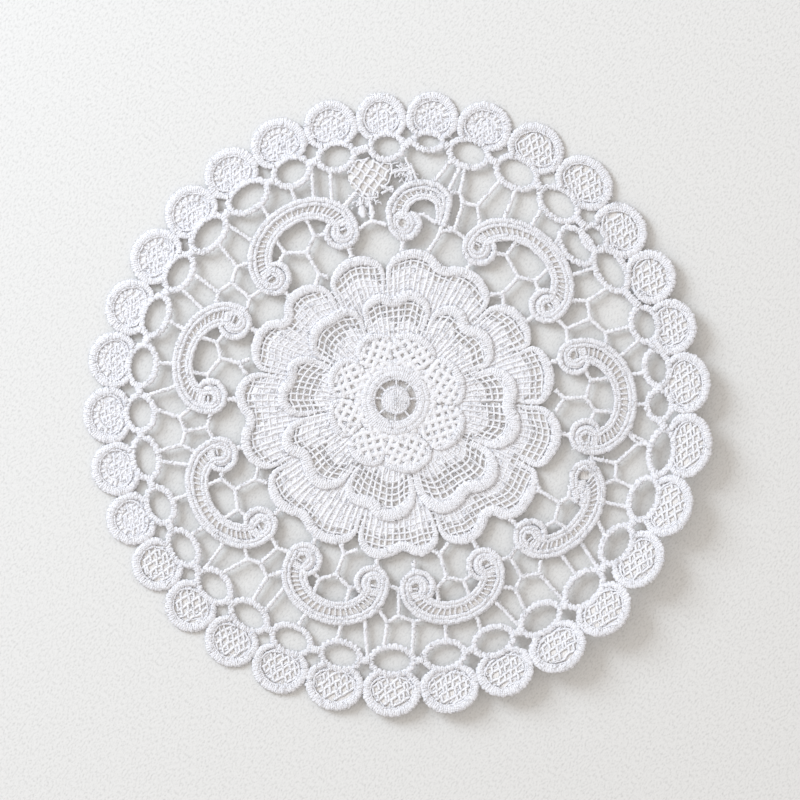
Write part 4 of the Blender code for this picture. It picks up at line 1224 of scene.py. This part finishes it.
def edge_threads(patch):
    """A thread along each of the patch's EDGE_RUNS."""
    shapes = []
    for first, last in EDGE_RUNS:
        edge = spaced(patch, 0.7, closed=True)
        edge = rough(edge[int(first * len(edge)) : int(last * len(edge))], 0.25)
        shapes.append(cord(at_height(edge, 0.85), 0.32, 0.32, 5))
    return shapes


def leaf(oval):
    """A satin leaf: a flat cord along its length, as wide at each place as LEAF_WIDE says."""
    reach = oval.radius + oval.half_high * np.linspace(-1.0, 1.0, len(LEAF_WIDE))
    path = at_height(polar(np.full(len(LEAF_WIDE), oval.angle), reach), 0.75)
    return cord(path, oval.half_wide * LEAF_WIDE, 0.5, 8, stitch=0.9, groove=0.3, nap=0.2)


def stalk(rows):
    """A thin bar through a leaf's or the patch's own places."""
    path = at_height(rough(spaced(places(rows), 0.5), 0.12), 0.8)
    return cord(path, 0.5, 0.42, 6, stitch=0.9, groove=0.25, nap=0.12)


def tuft_threads(tuft):
    """Short threads that lie every way round a place, spread more along its lean than across."""
    shapes = []
    for way in chance.uniform(0.0, 360.0, tuft.threads):
        at = np.arange(-0.8, 0.9, 0.4) * chance.uniform(0.7, 1.2)
        spot = polar(tuft.angle, tuft.radius)
        spot = spot + chance.normal(0.0, tuft.long) * polar(tuft.lean, 1.0)
        spot = spot + chance.normal(0.0, tuft.wide) * polar(tuft.lean + 90.0, 1.0)
        path = rough(spot + np.outer(at, polar(way, 1.0)), 0.3)
        shapes.append(cord(at_height(path, chance.uniform(0.3, 1.1)), 0.24, 0.24, 4))
    return shapes


patch = places(MESH_PATCH)
middle = patch.mean(axis=0)
lace_threads.extend(mesh_threads(patch, middle))
edge = middle + 0.95 * (spaced(patch, 1.0, closed=True) - middle)
shade_slabs.append(slab(middle + 0.02 * (edge - middle), edge, 0.5, steps=4))
lace_threads.extend(edge_threads(patch))
lace_threads.extend(leaf(oval) for oval in LEAVES)
lace_threads.extend(stalk(rows) for rows in STALKS)
for tuft in TUFTS:
    lace_threads.extend(tuft_threads(tuft))


# The flower's outer petals -----------------------------------------------------------------
# Nine broad petals flat on the table: a net of close strands that spread from the middle,
# with rows of open squares at the edge, inside a padded rim of satin stitches.

FLOWER_CENTRE = np.array([-1.0, 1.5])
SQUARE = 2.0
STRAND, STRAND_STEP, STRAND_UNEVEN = 0.45, 1.4, 0.12
# Strands lie by turns over and under their layer's height, the threads along the edge over
# it, and the threads on circles under it.
STRAND_LIFTS, CROSS_LIFT, CIRCLE_DROP = (0.1, -0.12), 0.12, 0.2
CIRCLE_PITCH, CIRCLE_STEP = 1.3, 1.25
CLOTH_TOP, CLOTH_BASE = 0.14, -0.3
RIM_STEP = 0.35
# A rim's half width at its tails' tips and where it leaves its petal, as shares, and the
# length over which it grows from there.
TAIL_THIN, RIM_THIN, RIM_THIN_LONG = 0.35, 0.55, 7.0
WIDE_TOWARDS = -45.0
AROUND = np.arange(0.0, 360.0, 0.75)

# Each bump's top, the notch after it, and how many rows of open squares it has.
Lobe = namedtuple("Lobe", "angle reach notch notch_radius rows")
OUTER_LOBES = table(Lobe, [
    (11.0, 51.2, 22.0, 46.1, 2), (31.5, 49.0, 45.3, 40.5, 2), (58.5, 48.0, 70.5, 44.8, 1),
    (81.0, 48.7, 94.7, 40.5, 1), (107.0, 47.7, 120.7, 39.4, 2), (135.0, 47.9, 144.5, 43.2, 1),
    (155.5, 49.6, 168.0, 42.9, 1), (178.0, 51.2, 187.5, 47.4, 1), (197.5, 51.5, 209.3, 43.6, 1),
    (221.0, 50.9, 231.0, 48.0, 1), (240.5, 50.9, 254.0, 43.2, 1), (263.0, 50.9, 273.0, 47.4, 2),
    (279.5, 50.4, 288.0, 43.6, 2), (298.5, 51.2, 310.0, 46.4, 2), (319.5, 54.1, 334.0, 48.7, 3),
    (346.0, 54.1, 358.0, 44.8, 3),
])

# The middle petals' bumps, the depth past which a notch parts two of them, and how far inside
# their edge the outer petals' net stops: it isn't stitched below them.
MIDDLE_DEEP, MIDDLE_HIDES = 5.0, 3.6
MIDDLE_LOBES = table(Lobe, [
    (5.0, 38.8, 19.5, 30.2, 3), (36.0, 36.3, 46.0, 33.1, 2), (54.5, 35.9, 67.7, 28.6, 1),
    (82.0, 35.6, 91.5, 32.4, 3), (99.0, 34.7, 112.0, 28.0, 2), (124.0, 34.7, 128.0, 34.5, 2),
    (136.0, 35.6, 152.0, 28.0, 3), (162.0, 36.3, 169.0, 35.5, 4), (178.0, 38.0, 190.3, 30.0, 4),
    (203.0, 39.1, 211.5, 35.3, 1), (224.0, 37.8, 238.5, 29.3, 3), (248.0, 35.9, 255.0, 35.0, 4),
    (266.0, 38.5, 282.5, 28.6, 4), (297.0, 39.4, 308.5, 37.2, 4), (319.0, 40.7, 332.7, 31.8, 4),
    (347.0, 40.4, 357.5, 37.2, 3),
])

# How one layer of petals is made: the rim's half width, height of its middle and half height,
# the depth past which a notch parts two petals, how far the rim runs on inwards there, the
# strands' number, start and height, the rim's stitches and the depth of their grooves, and by
# what share the rim is wider towards the lower right.
Layer = namedtuple(
    "Layer", "rim_half rim_middle rim_half_high deep tail strands start high stitch groove spread"
)
OUTER_LAYER = Layer(1.7, 1.0, 1.0, 5.0, 6.0, 276, 27.0, 0.6, 1.3, 0.14, 0.05)


def lobe_edge(lobes, deep, steps=24):
    """Angles and radii of a layer's edge, with the number of each one's bump and its rows.

    From a bump's top to a notch deeper than deep it falls as an ellipse does, with
    sqrt(1 - share^2), and to a shallow notch more easily, with 1 - share^2.
    """
    angles, reaches, parts, rows = [], [], [], []
    for index, lobe in enumerate(lobes):
        for side, beside in ((-1, lobes[index - 1]), (1, lobe)):
            span = abs((beside.notch - lobe.angle + 180.0) % 360.0 - 180.0)
            if lobe.reach - beside.notch_radius > deep:
                share = np.sin(np.pi / 2 * np.arange(steps) / steps)
                share, power = share[::side], 0.5
            else:
                share = np.linspace(0.0, 1.0, steps, endpoint=False)
                share, power = share if side > 0 else 1 - share, 1.0
            rise = (1 - share**2) ** power
            angles.append(lobe.angle + side * span * share)
            reaches.append(beside.notch_radius + (lobe.reach - beside.notch_radius) * rise)
            parts.append(np.full(steps, index))
            rows.append(np.full(steps, lobe.rows))
    return [np.concatenate(column) for column in (angles, reaches, parts, rows)]


def edge_at(lobes, deep, angle):
    """The radius of a layer's edge and its rows of squares at these angles round the flower."""
    around, reach, _, rows = lobe_edge(lobes, deep)
    around = around % 360.0
    order = np.argsort(around)
    angle = np.asarray(angle) % 360.0
    edge = np.interp(angle, around[order], reach[order], period=360.0)
    nearest = np.argmin(np.abs((angle[:, None] - around + 180.0) % 360.0 - 180.0), axis=1)
    return edge, rows[nearest]


def with_tails(line, tail):
    """A rim's line, run on at both ends towards the flower's middle, with a slight lean back."""
    ends = []
    for end, beside in ((line[0], line[6]), (line[-1], line[-7])):
        inward = FLOWER_CENTRE - end
        inward /= np.linalg.norm(inward)
        lean = (beside - end) / np.linalg.norm(beside - end)
        share = np.linspace(0.0, 1.0, 12)[1:, None]
        ends.append(end + tail * share * inward + 0.12 * tail * share**2 * lean)
    return np.vstack([ends[0][::-1], line, ends[1]])


def from_ends(path):
    """How far along it each point of an evenly spaced path is from its nearer end."""
    gone = np.arange(len(path)) * RIM_STEP
    return np.minimum(gone, gone[::-1])


def petals(lobes, layer):
    """The lines of a layer's rims, each from one parting notch to the next, and their half widths.

    A line is the petal's edge, moved inwards by the rim's half width there.
    """
    around, reach, part, _ = lobe_edge(lobes, layer.deep)
    parting = [i for i, lobe in enumerate(lobes) if lobe.reach - lobe.notch_radius > layer.deep]
    lines = []
    for first, last in zip(parting, parting[1:] + [parting[0] + len(lobes)]):
        wanted = [i % len(lobes) for i in range(first + 1, last + 1)]
        pieces = [polar(around[part == i], reach[part == i], FLOWER_CENTRE) for i in wanted]
        line = eased(spaced(np.vstack(pieces), RIM_STEP), 12)
        run = np.gradient(line, axis=0)
        run /= np.linalg.norm(run, axis=1)[:, None]
        grown = (1 - RIM_THIN) * from_ends(line) / RIM_THIN_LONG
        wide = layer.rim_half * np.clip(RIM_THIN + grown, RIM_THIN, 1.0)
        line = line + np.stack([-run[:, 1], run[:, 0]], axis=1) * wide[:, None]
        path = spaced(eased(with_tails(line, layer.tail), 8), RIM_STEP)
        shares = (0.0, layer.tail, layer.tail + RIM_THIN_LONG), (TAIL_THIN, RIM_THIN, 1.0)
        lines.append((path, np.interp(from_ends(path), *shares)))
    return lines


def petal_rims(name, lobes, layer, sides):
    """A layer's rims: padded cords that are thin and low at their tails, and wider on one side."""
    shapes = []
    for path, share in petals(lobes, layer):
        high = layer.rim_middle - 0.5 * (1 - share)
        away = path - FLOWER_CENTRE
        towards = np.cos(np.arctan2(away[:, 1], away[:, 0]) - np.radians(WIDE_TOWARDS))
        wide = share * layer.rim_half * (1 + layer.spread * towards)
        half_high = share * layer.rim_half_high
        path = at_height(rough(path, 0.07), high)
        stitches = dict(stitch=layer.stitch, groove=layer.groove, lean=0.3)
        shapes.append(cord(path, wide, half_high, sides, **stitches))
    return add_piece(name, shapes, satin)


def off_middle(path):
    """Where the outer petals' net isn't hidden under the middle ones': nothing lies below those."""
    away = path - FLOWER_CENTRE
    turn = np.degrees(np.arctan2(away[:, 1], away[:, 0]))
    edge, _ = edge_at(MIDDLE_LOBES, MIDDLE_DEEP, turn)
    return np.hypot(*away.T) > edge - MIDDLE_HIDES


def spread_strands(lobes, layer, clear):
    """The strands that spread from the flower's middle, alternately a little higher and lower.

    Every second one stops at the open squares, and the others go on thinner.
    """
    count = layer.strands
    angle = 360.0 * (np.arange(count) + chance.normal(0.0, STRAND_UNEVEN, count)) / count
    edge, rows = edge_at(lobes, layer.deep, angle)
    shapes = []
    for number, (turn, reach, row) in enumerate(zip(angle, edge, rows)):
        squares = reach - 2 * layer.rim_half - SQUARE * row
        until = squares if number % 2 else reach - layer.rim_half
        if until - layer.start < 2.0:
            continue
        radius = np.arange(layer.start, until, STRAND_STEP)
        path = rough(polar(np.full(len(radius), turn), radius, FLOWER_CENTRE), 0.17)
        lift = STRAND_LIFTS[number % 2]
        for run in kept(path, clear(path)):
            gone = np.hypot(*(run - FLOWER_CENTRE).T)
            size = STRAND * np.where(gone < squares, 1.0 + 2.0 * lift, 0.9)
            size = size * chance.uniform(0.85, 1.15, len(run))
            shapes.append(cord(at_height(run, layer.high + lift), size, size, 4, nap=0.14))
    return shapes


def edge_rows(lobes, layer, clear):
    """The threads across the strands that follow the edge, SQUARE apart, through the squares."""
    around = np.arange(0.0, 360.0, 1.6)
    edge, rows = edge_at(lobes, layer.deep, around)
    smooth = np.mean([np.roll(edge, k) for k in range(-5, 6)], axis=0)
    shapes = []
    for row in range(-1, 9):
        reach = smooth - 2 * layer.rim_half - SQUARE * (row + 0.95)
        path = polar(around, reach, FLOWER_CENTRE)
        keep = (edge - reach > layer.rim_half) & (reach > layer.start) & clear(path)
        size = STRAND * (0.85 if row < rows.max() else 0.75)
        for run in kept(rough(path, 0.1), keep):
            run = at_height(spaced(run, 1.0), layer.high + CROSS_LIFT)
            shapes.append(cord(run, size, size, 4))
    return shapes


def circle_rows(lobes, layer, clear):
    """The closer threads across the strands below the squares, on circles round the middle."""
    edge, _ = edge_at(lobes, layer.deep, np.arange(0.0, 360.0, 1.6))
    size = STRAND * 0.85
    shapes = []
    for radius in np.arange(layer.start + 0.6, edge.max(), CIRCLE_PITCH):
        around = np.degrees(np.arange(0.0, 2 * np.pi * radius, CIRCLE_STEP) / radius)
        edge, rows = edge_at(lobes, layer.deep, around)
        path = rough(polar(around, radius, FLOWER_CENTRE), 0.16)
        keep = (edge - radius > 2 * layer.rim_half + SQUARE * rows - 0.2) & clear(path)
        for run in kept(path, keep):
            shapes.append(cord(at_height(run, layer.high - CIRCLE_DROP), size, size, 4))
    return shapes


def strand_net(lobes, layer, clear):
    """A layer's whole net, where the layer's own rule says it is clear."""
    return [
        shape
        for threads in (spread_strands, edge_rows, circle_rows)
        for shape in threads(lobes, layer, clear)
    ]


def close_cloth(lobes, layer, start):
    """The close stitching under the strands, a thin slab from its start to the squares."""
    edge, rows = edge_at(lobes, layer.deep, AROUND)
    reach = edge - 2 * layer.rim_half - SQUARE * rows + 0.2
    reach = np.minimum(reach, np.minimum(np.roll(reach, 1), np.roll(reach, -1)))
    inner = polar(AROUND, start, FLOWER_CENTRE)
    outer = polar(AROUND, np.maximum(reach, start + 0.6), FLOWER_CENTRE)
    return slab(inner, outer, layer.high + CLOTH_TOP, layer.high + CLOTH_BASE, 12)


def low_ring(start, until, top):
    """A thin slab on the table all round the flower's middle, from one radius to another."""
    until = np.maximum(until, start + 0.5)
    inner, outer = polar(AROUND, start, FLOWER_CENTRE), polar(AROUND, until, FLOWER_CENTRE)
    return slab(inner, outer, top, steps=8)


outer_rims = petal_rims("outer_petal_rims", OUTER_LOBES, OUTER_LAYER, 14)
middle_edge, _ = edge_at(MIDDLE_LOBES, MIDDLE_DEEP, AROUND)
outer_edge, outer_rows = edge_at(OUTER_LOBES, OUTER_LAYER.deep, AROUND)
squares = outer_edge - 2 * OUTER_LAYER.rim_half - SQUARE * outer_rows - 1.0
# Slabs that stand for pale shade under the middle petals, the open squares, the windows round
# the button and the inner petals, where real lace has none.
shade_slabs.append(low_ring(14.0, middle_edge - 2.0, 0.7))
shade_slabs.append(low_ring(np.maximum(squares, middle_edge - 3.0), outer_edge - 1.5, 0.2))
shade_slabs.append(low_ring(2.0, 8.0, 0.5))
shade_slabs.append(low_ring(8.5, 16.0, 1.4))
# The slabs' warm grey colour is painted shade, as of the table in shade.
painted_shade_cotton = white_cotton(
    "painted_shade_cotton", strand=0.7, depth=0.05, fuzz=0.2,
    low=(0.79, 0.768, 0.757), high=(0.85, 0.828, 0.816),
)
painted_shade_slabs = add_piece("painted_shade_slabs", shade_slabs, painted_shade_cotton)
lace_threads.append(close_cloth(OUTER_LOBES, OUTER_LAYER, middle_edge - MIDDLE_HIDES))
lace_threads.extend(strand_net(OUTER_LOBES, OUTER_LAYER, off_middle))


# The flower's middle petals ----------------------------------------------------------------
# Eight two-lobed petals over the outer ones, with taller, rounder and smoother rims, and the
# same net with more rows of open squares.

MIDDLE_LAYER = Layer(1.95, 1.55, 1.25, MIDDLE_DEEP, 6.0, 188, 15.5, 1.35, 1.1, 0.08, 0.13)
# Where the table shows between two inner petals.
RECESSES = polar([258.0, 307.0, 355.0], [20.0, 21.3, 19.1], FLOWER_CENTRE)
RECESS_RADIUS = 1.3


def off_recesses(path):
    """Where the middle petals' net is clear of those places."""
    return np.linalg.norm(path[:, None] - RECESSES, axis=2).min(axis=1) > RECESS_RADIUS


middle_rims = petal_rims("middle_petal_rims", MIDDLE_LOBES, MIDDLE_LAYER, 16)
lace_threads.append(close_cloth(MIDDLE_LOBES, MIDDLE_LAYER, MIDDLE_LAYER.start))
lace_threads.extend(strand_net(MIDDLE_LOBES, MIDDLE_LAYER, off_recesses))


# The flower's inner petals -----------------------------------------------------------------
# Eight small petals on top, with thin rims, and a thick diamond net with small holes.

INNER_LOBES = table(Lobe, [
    (16.0, 22.9, 46.0, 18.1, 0), (74.0, 22.3, 93.5, 18.4, 0), (115.0, 22.9, 133.5, 16.5, 0),
    (156.0, 23.2, 178.0, 17.8, 0), (198.0, 22.6, 219.0, 18.1, 0), (240.0, 23.2, 259.0, 19.1, 0),
    (285.0, 23.7, 306.5, 18.4, 0), (333.0, 23.9, 354.5, 19.1, 0),
])
INNER_LAYER = Layer(1.4, 2.1, 1.1, 3.0, 4.5, 0, 10.2, 2.1, 1.2, 0.12, 0.05)
DIAMOND_PITCH = 2.45
DIAMOND_THREAD, DIAMOND_FLAT = 0.84, 0.48
DIAMOND_FROM, DIAMOND_MIDDLE = 9.8, 16.0
DIAMOND_TILT = 4.0


def diamond_nets():
    """Two sets of thick threads across each petal, 45 degrees to both sides of its own middle."""
    shapes = []
    notches = [lobe.notch for lobe in INNER_LOBES]
    for number, lobe in enumerate(INNER_LOBES):
        middle = polar(lobe.angle, DIAMOND_MIDDLE, FLOWER_CENTRE)
        tilt = chance.normal(0.0, DIAMOND_TILT)
        for lean in (45.0, -45.0):
            along = polar(lobe.angle + tilt + lean, 1.0)
            across = polar(lobe.angle + tilt + lean + 90.0, 1.0)
            for k in np.arange(-5, 6) + 0.5:
                path = middle + np.outer(np.arange(-9.0, 9.0, 0.7), along)
                path = rough(path + k * DIAMOND_PITCH * across, 0.2)
                away = path - FLOWER_CENTRE
                radius = np.hypot(*away.T)
                turn = np.degrees(np.arctan2(away[:, 1], away[:, 0]))
                edge, _ = edge_at(INNER_LOBES, INNER_LAYER.deep, turn)
                own = np.searchsorted(notches, turn % 360.0) % len(notches) == number
                for run in kept(path, (radius > DIAMOND_FROM) & (radius < edge - 1.0) & own):
                    size = DIAMOND_THREAD * chance.normal(1.0, 0.1, len(run))
                    run = at_height(run, INNER_LAYER.high)
                    shapes.append(cord(run, size, DIAMOND_FLAT, 6, nap=0.13))
    return shapes


inner_rims = petal_rims("inner_petal_rims", INNER_LOBES, INNER_LAYER, 12)
inner_nets = add_piece("inner_petal_nets", diamond_nets(), wrapped)


# The flower's centre -----------------------------------------------------------------------
# Padded rings of satin stitches, a round of small windows crossed by eight short bars,
# and a domed button of wound thread in the middle.

# The rings round the windows: radius, half width, half height and the height of their middles.
RINGS = ((7.05, 0.55, 0.5, 2.3), (8.3, 1.2, 0.85, 2.3), (9.95, 1.15, 0.8, 2.15))
RING_TURNS = np.arange(0.0, 360.0, 2.5)
SPOKES = (88.0, 48.0, 5.0, -50.0, -92.0, -142.0, 173.0, 138.0)
# The low pad outside the rings: its radius, half width, half height and its middle's height.
COLLAR, COLLAR_HALF, COLLAR_THIN, COLLAR_HIGH = 12.0, 1.6, 0.45, 1.85
# The button: its radius, its rim's half width, half height and middle, and its dome.
BUTTON = 4.6
BUTTON_RIM, BUTTON_RIM_THICK, BUTTON_RIM_HIGH = 0.6, 0.95, 1.9
DOME_LOW, DOME_RISE, DOME_GROOVE = 2.1, 1.2, 0.14
DOME_LEAN = 50.0


def button_dome():
    """The button's top: a low round dome in parallel satin stitches that lean to the right.

    At a share of the button's radius, z is DOME_LOW + DOME_RISE * sqrt(1 - share^2), less a
    groove between every two stitches, which are 1 mm wide.
    """
    turns, shares = np.arange(0.0, 360.0, 6.0), np.linspace(0.02, 0.93, 14)
    turn, share = np.meshgrid(turns, shares, indexing="ij")
    flat = polar(turn, BUTTON * share)
    across = flat @ polar(DOME_LEAN + 90.0, 1.0)
    crest = np.abs(np.sin(np.pi * across))
    high = DOME_LOW + DOME_RISE * np.sqrt(1 - share**2) - DOME_GROOVE * (1 - crest)
    high = high + chance.normal(0.0, 0.07, share.shape)
    points = np.concatenate([flat + FLOWER_CENTRE, high[..., None]], axis=2)
    quads = grid_faces(*share.shape, columns_closed=False)[:, ::-1]
    thread = flat.reshape(-1, 2)[quads.reshape(-1)]
    caps = np.empty((0, 4), int)
    # The dome's colour is darker in its grooves: painted shade.
    return Shape(points.reshape(-1, 3), quads, caps, thread, 0.4 + 0.6 * crest.ravel())


def round_cord(radius, wander, high, half, thick, sides, **stitches):
    """A closed cord round the flower's middle."""
    path = at_height(rough(polar(RING_TURNS, radius, FLOWER_CENTRE), wander), high)
    return cord(path, half, thick, sides, True, stitch=0.9, **stitches)


def flower_centre():
    """The rings, the bars across the windows, the pad round them, and the button on its core."""
    shapes = [
        round_cord(radius, 0.05, high, half, thick, 12, groove=0.1, lean=0.4)
        for radius, half, thick, high in RINGS
    ]
    for angle in SPOKES:
        path = polar(np.full(6, angle), np.linspace(BUTTON - 0.6, 7.2, 6), FLOWER_CENTRE)
        shapes.append(cord(at_height(path, 2.2), 0.36, 0.4, 7, stitch=0.8, groove=0.1))
    collar = round_cord(COLLAR, 0.1, COLLAR_HIGH, COLLAR_HALF, COLLAR_THIN, 8, groove=0.2, nap=0.08)
    rim = round_cord(
        BUTTON - 0.55, 0.05, BUTTON_RIM_HIGH, BUTTON_RIM, BUTTON_RIM_THICK, 12,
        groove=0.15, lean=0.4,
    )
    shapes += [collar, rim, button_dome()]
    pad = at_height(polar(np.arange(0.0, 360.0, 15.0), 2.0, FLOWER_CENTRE), 1.3)
    shapes.append(cord(pad, 2.1, 1.2, 10, True))
    return add_piece("flower_centre", shapes, satin)


centre = flower_centre()


# Loose fibres ------------------------------------------------------------------------------
# The nap of the thread: short curved fibres that lie every way, on the padded cords, over the
# close stitching of the petals and in the holes of the fans' nets.

FIBRE_HALF = 0.11
FIBRE_SHORT, FIBRE_LONG = 0.5, 1.2
FIBRE_TOP, FIBRE_ARCH, FIBRE_LOWEST = 0.12, 0.3, 0.15
# Fibres lie within about this angle, in radians, of the way from the flower's middle, and some
# lie across it.
FIBRE_LEAN, FIBRE_CURVE, FIBRES_ACROSS = 0.45, 0.35, 0.4
CORD_FIBRES = 3400
OUTER_FIBRES, MIDDLE_FIBRES = 780, 520
FAN_FIBRES, FINE_FIBRES = 14, 30


def fibre(place, way, length, curve, half):
    """One fibre: a low arch along a direction, with its middle at a place.

    Across its way it bends by curve * share^2 and its height falls by FIBRE_ARCH * share^2.
    """
    share = np.linspace(-1.0, 1.0, 4)
    along = np.array([np.cos(way), np.sin(way)])
    across = np.array([-along[1], along[0]])
    flat = place[:2] + np.outer(share * length, along) + np.outer(curve * share**2, across)
    high = np.maximum(place[2] + FIBRE_TOP - FIBRE_ARCH * share**2, FIBRE_LOWEST)
    return cord(at_height(flat, high), half, half, 3, nap=0.0)


def fibre_places():
    """The fibres' middles: on the cords, over both layers' cloth and in the fans' nets."""
    on_cords = np.concatenate(cord_tops)
    found = [on_cords[chance.integers(0, len(on_cords), CORD_FIBRES)]]
    layers = (OUTER_LOBES, OUTER_LAYER, OUTER_FIBRES), (MIDDLE_LOBES, MIDDLE_LAYER, MIDDLE_FIBRES)
    for lobes, layer, count in layers:
        turn = chance.uniform(0.0, 360.0, count)
        edge, rows = edge_at(lobes, layer.deep, turn)
        reach = edge - 2 * layer.rim_half - 0.6 * SQUARE * rows
        radius = np.sqrt(chance.uniform(layer.start**2, np.maximum(reach, layer.start + 1.0) ** 2))
        found.append(at_height(polar(turn, radius, FLOWER_CENTRE), layer.high + 0.45))
    for number, fan in enumerate(FANS):
        count = FINE_FIBRES if is_fine(fan) else FAN_FIBRES
        angle, middle, half_wide = fan_room(number)
        spot = polar(angle, middle) + chance.uniform(-half_wide, half_wide, (count, 2))
        spot = spot[(fan_share(number, 2 * FAN_CORD, spot) < 1) & (off_ovals(spot, NET_ROOM) > 1)]
        found.append(at_height(spot, chance.uniform(0.4, 1.4, len(spot))))
    return np.concatenate(found)


def loose_fibres():
    """Fibres at all those places, most along the way from the flower's middle, some across it."""
    spots = fibre_places()
    count = len(spots)
    way = np.arctan2(spots[:, 1] - FLOWER_CENTRE[1], spots[:, 0] - FLOWER_CENTRE[0])
    turned = chance.normal(0.0, FIBRE_LEAN, count)
    way += turned + np.pi / 2 * (chance.uniform(0.0, 1.0, count) < FIBRES_ACROSS)
    length = chance.uniform(FIBRE_SHORT, FIBRE_LONG, count)
    curve = chance.normal(0.0, FIBRE_CURVE, count)
    half = FIBRE_HALF * chance.uniform(0.8, 1.5, count)
    return [fibre(*row) for row in zip(spots, way, length, curve, half)]


# The ground --------------------------------------------------------------------------------
# All the thin threads of the nets, stitched in one with the rims: the cloth that carries the
# rest, on the table and waved with it.

ground = add_piece("lace_ground", lace_threads, wrapped)
fibres = add_piece("loose_fibres", loose_fibres(), wrapped)
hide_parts("lace_doily")
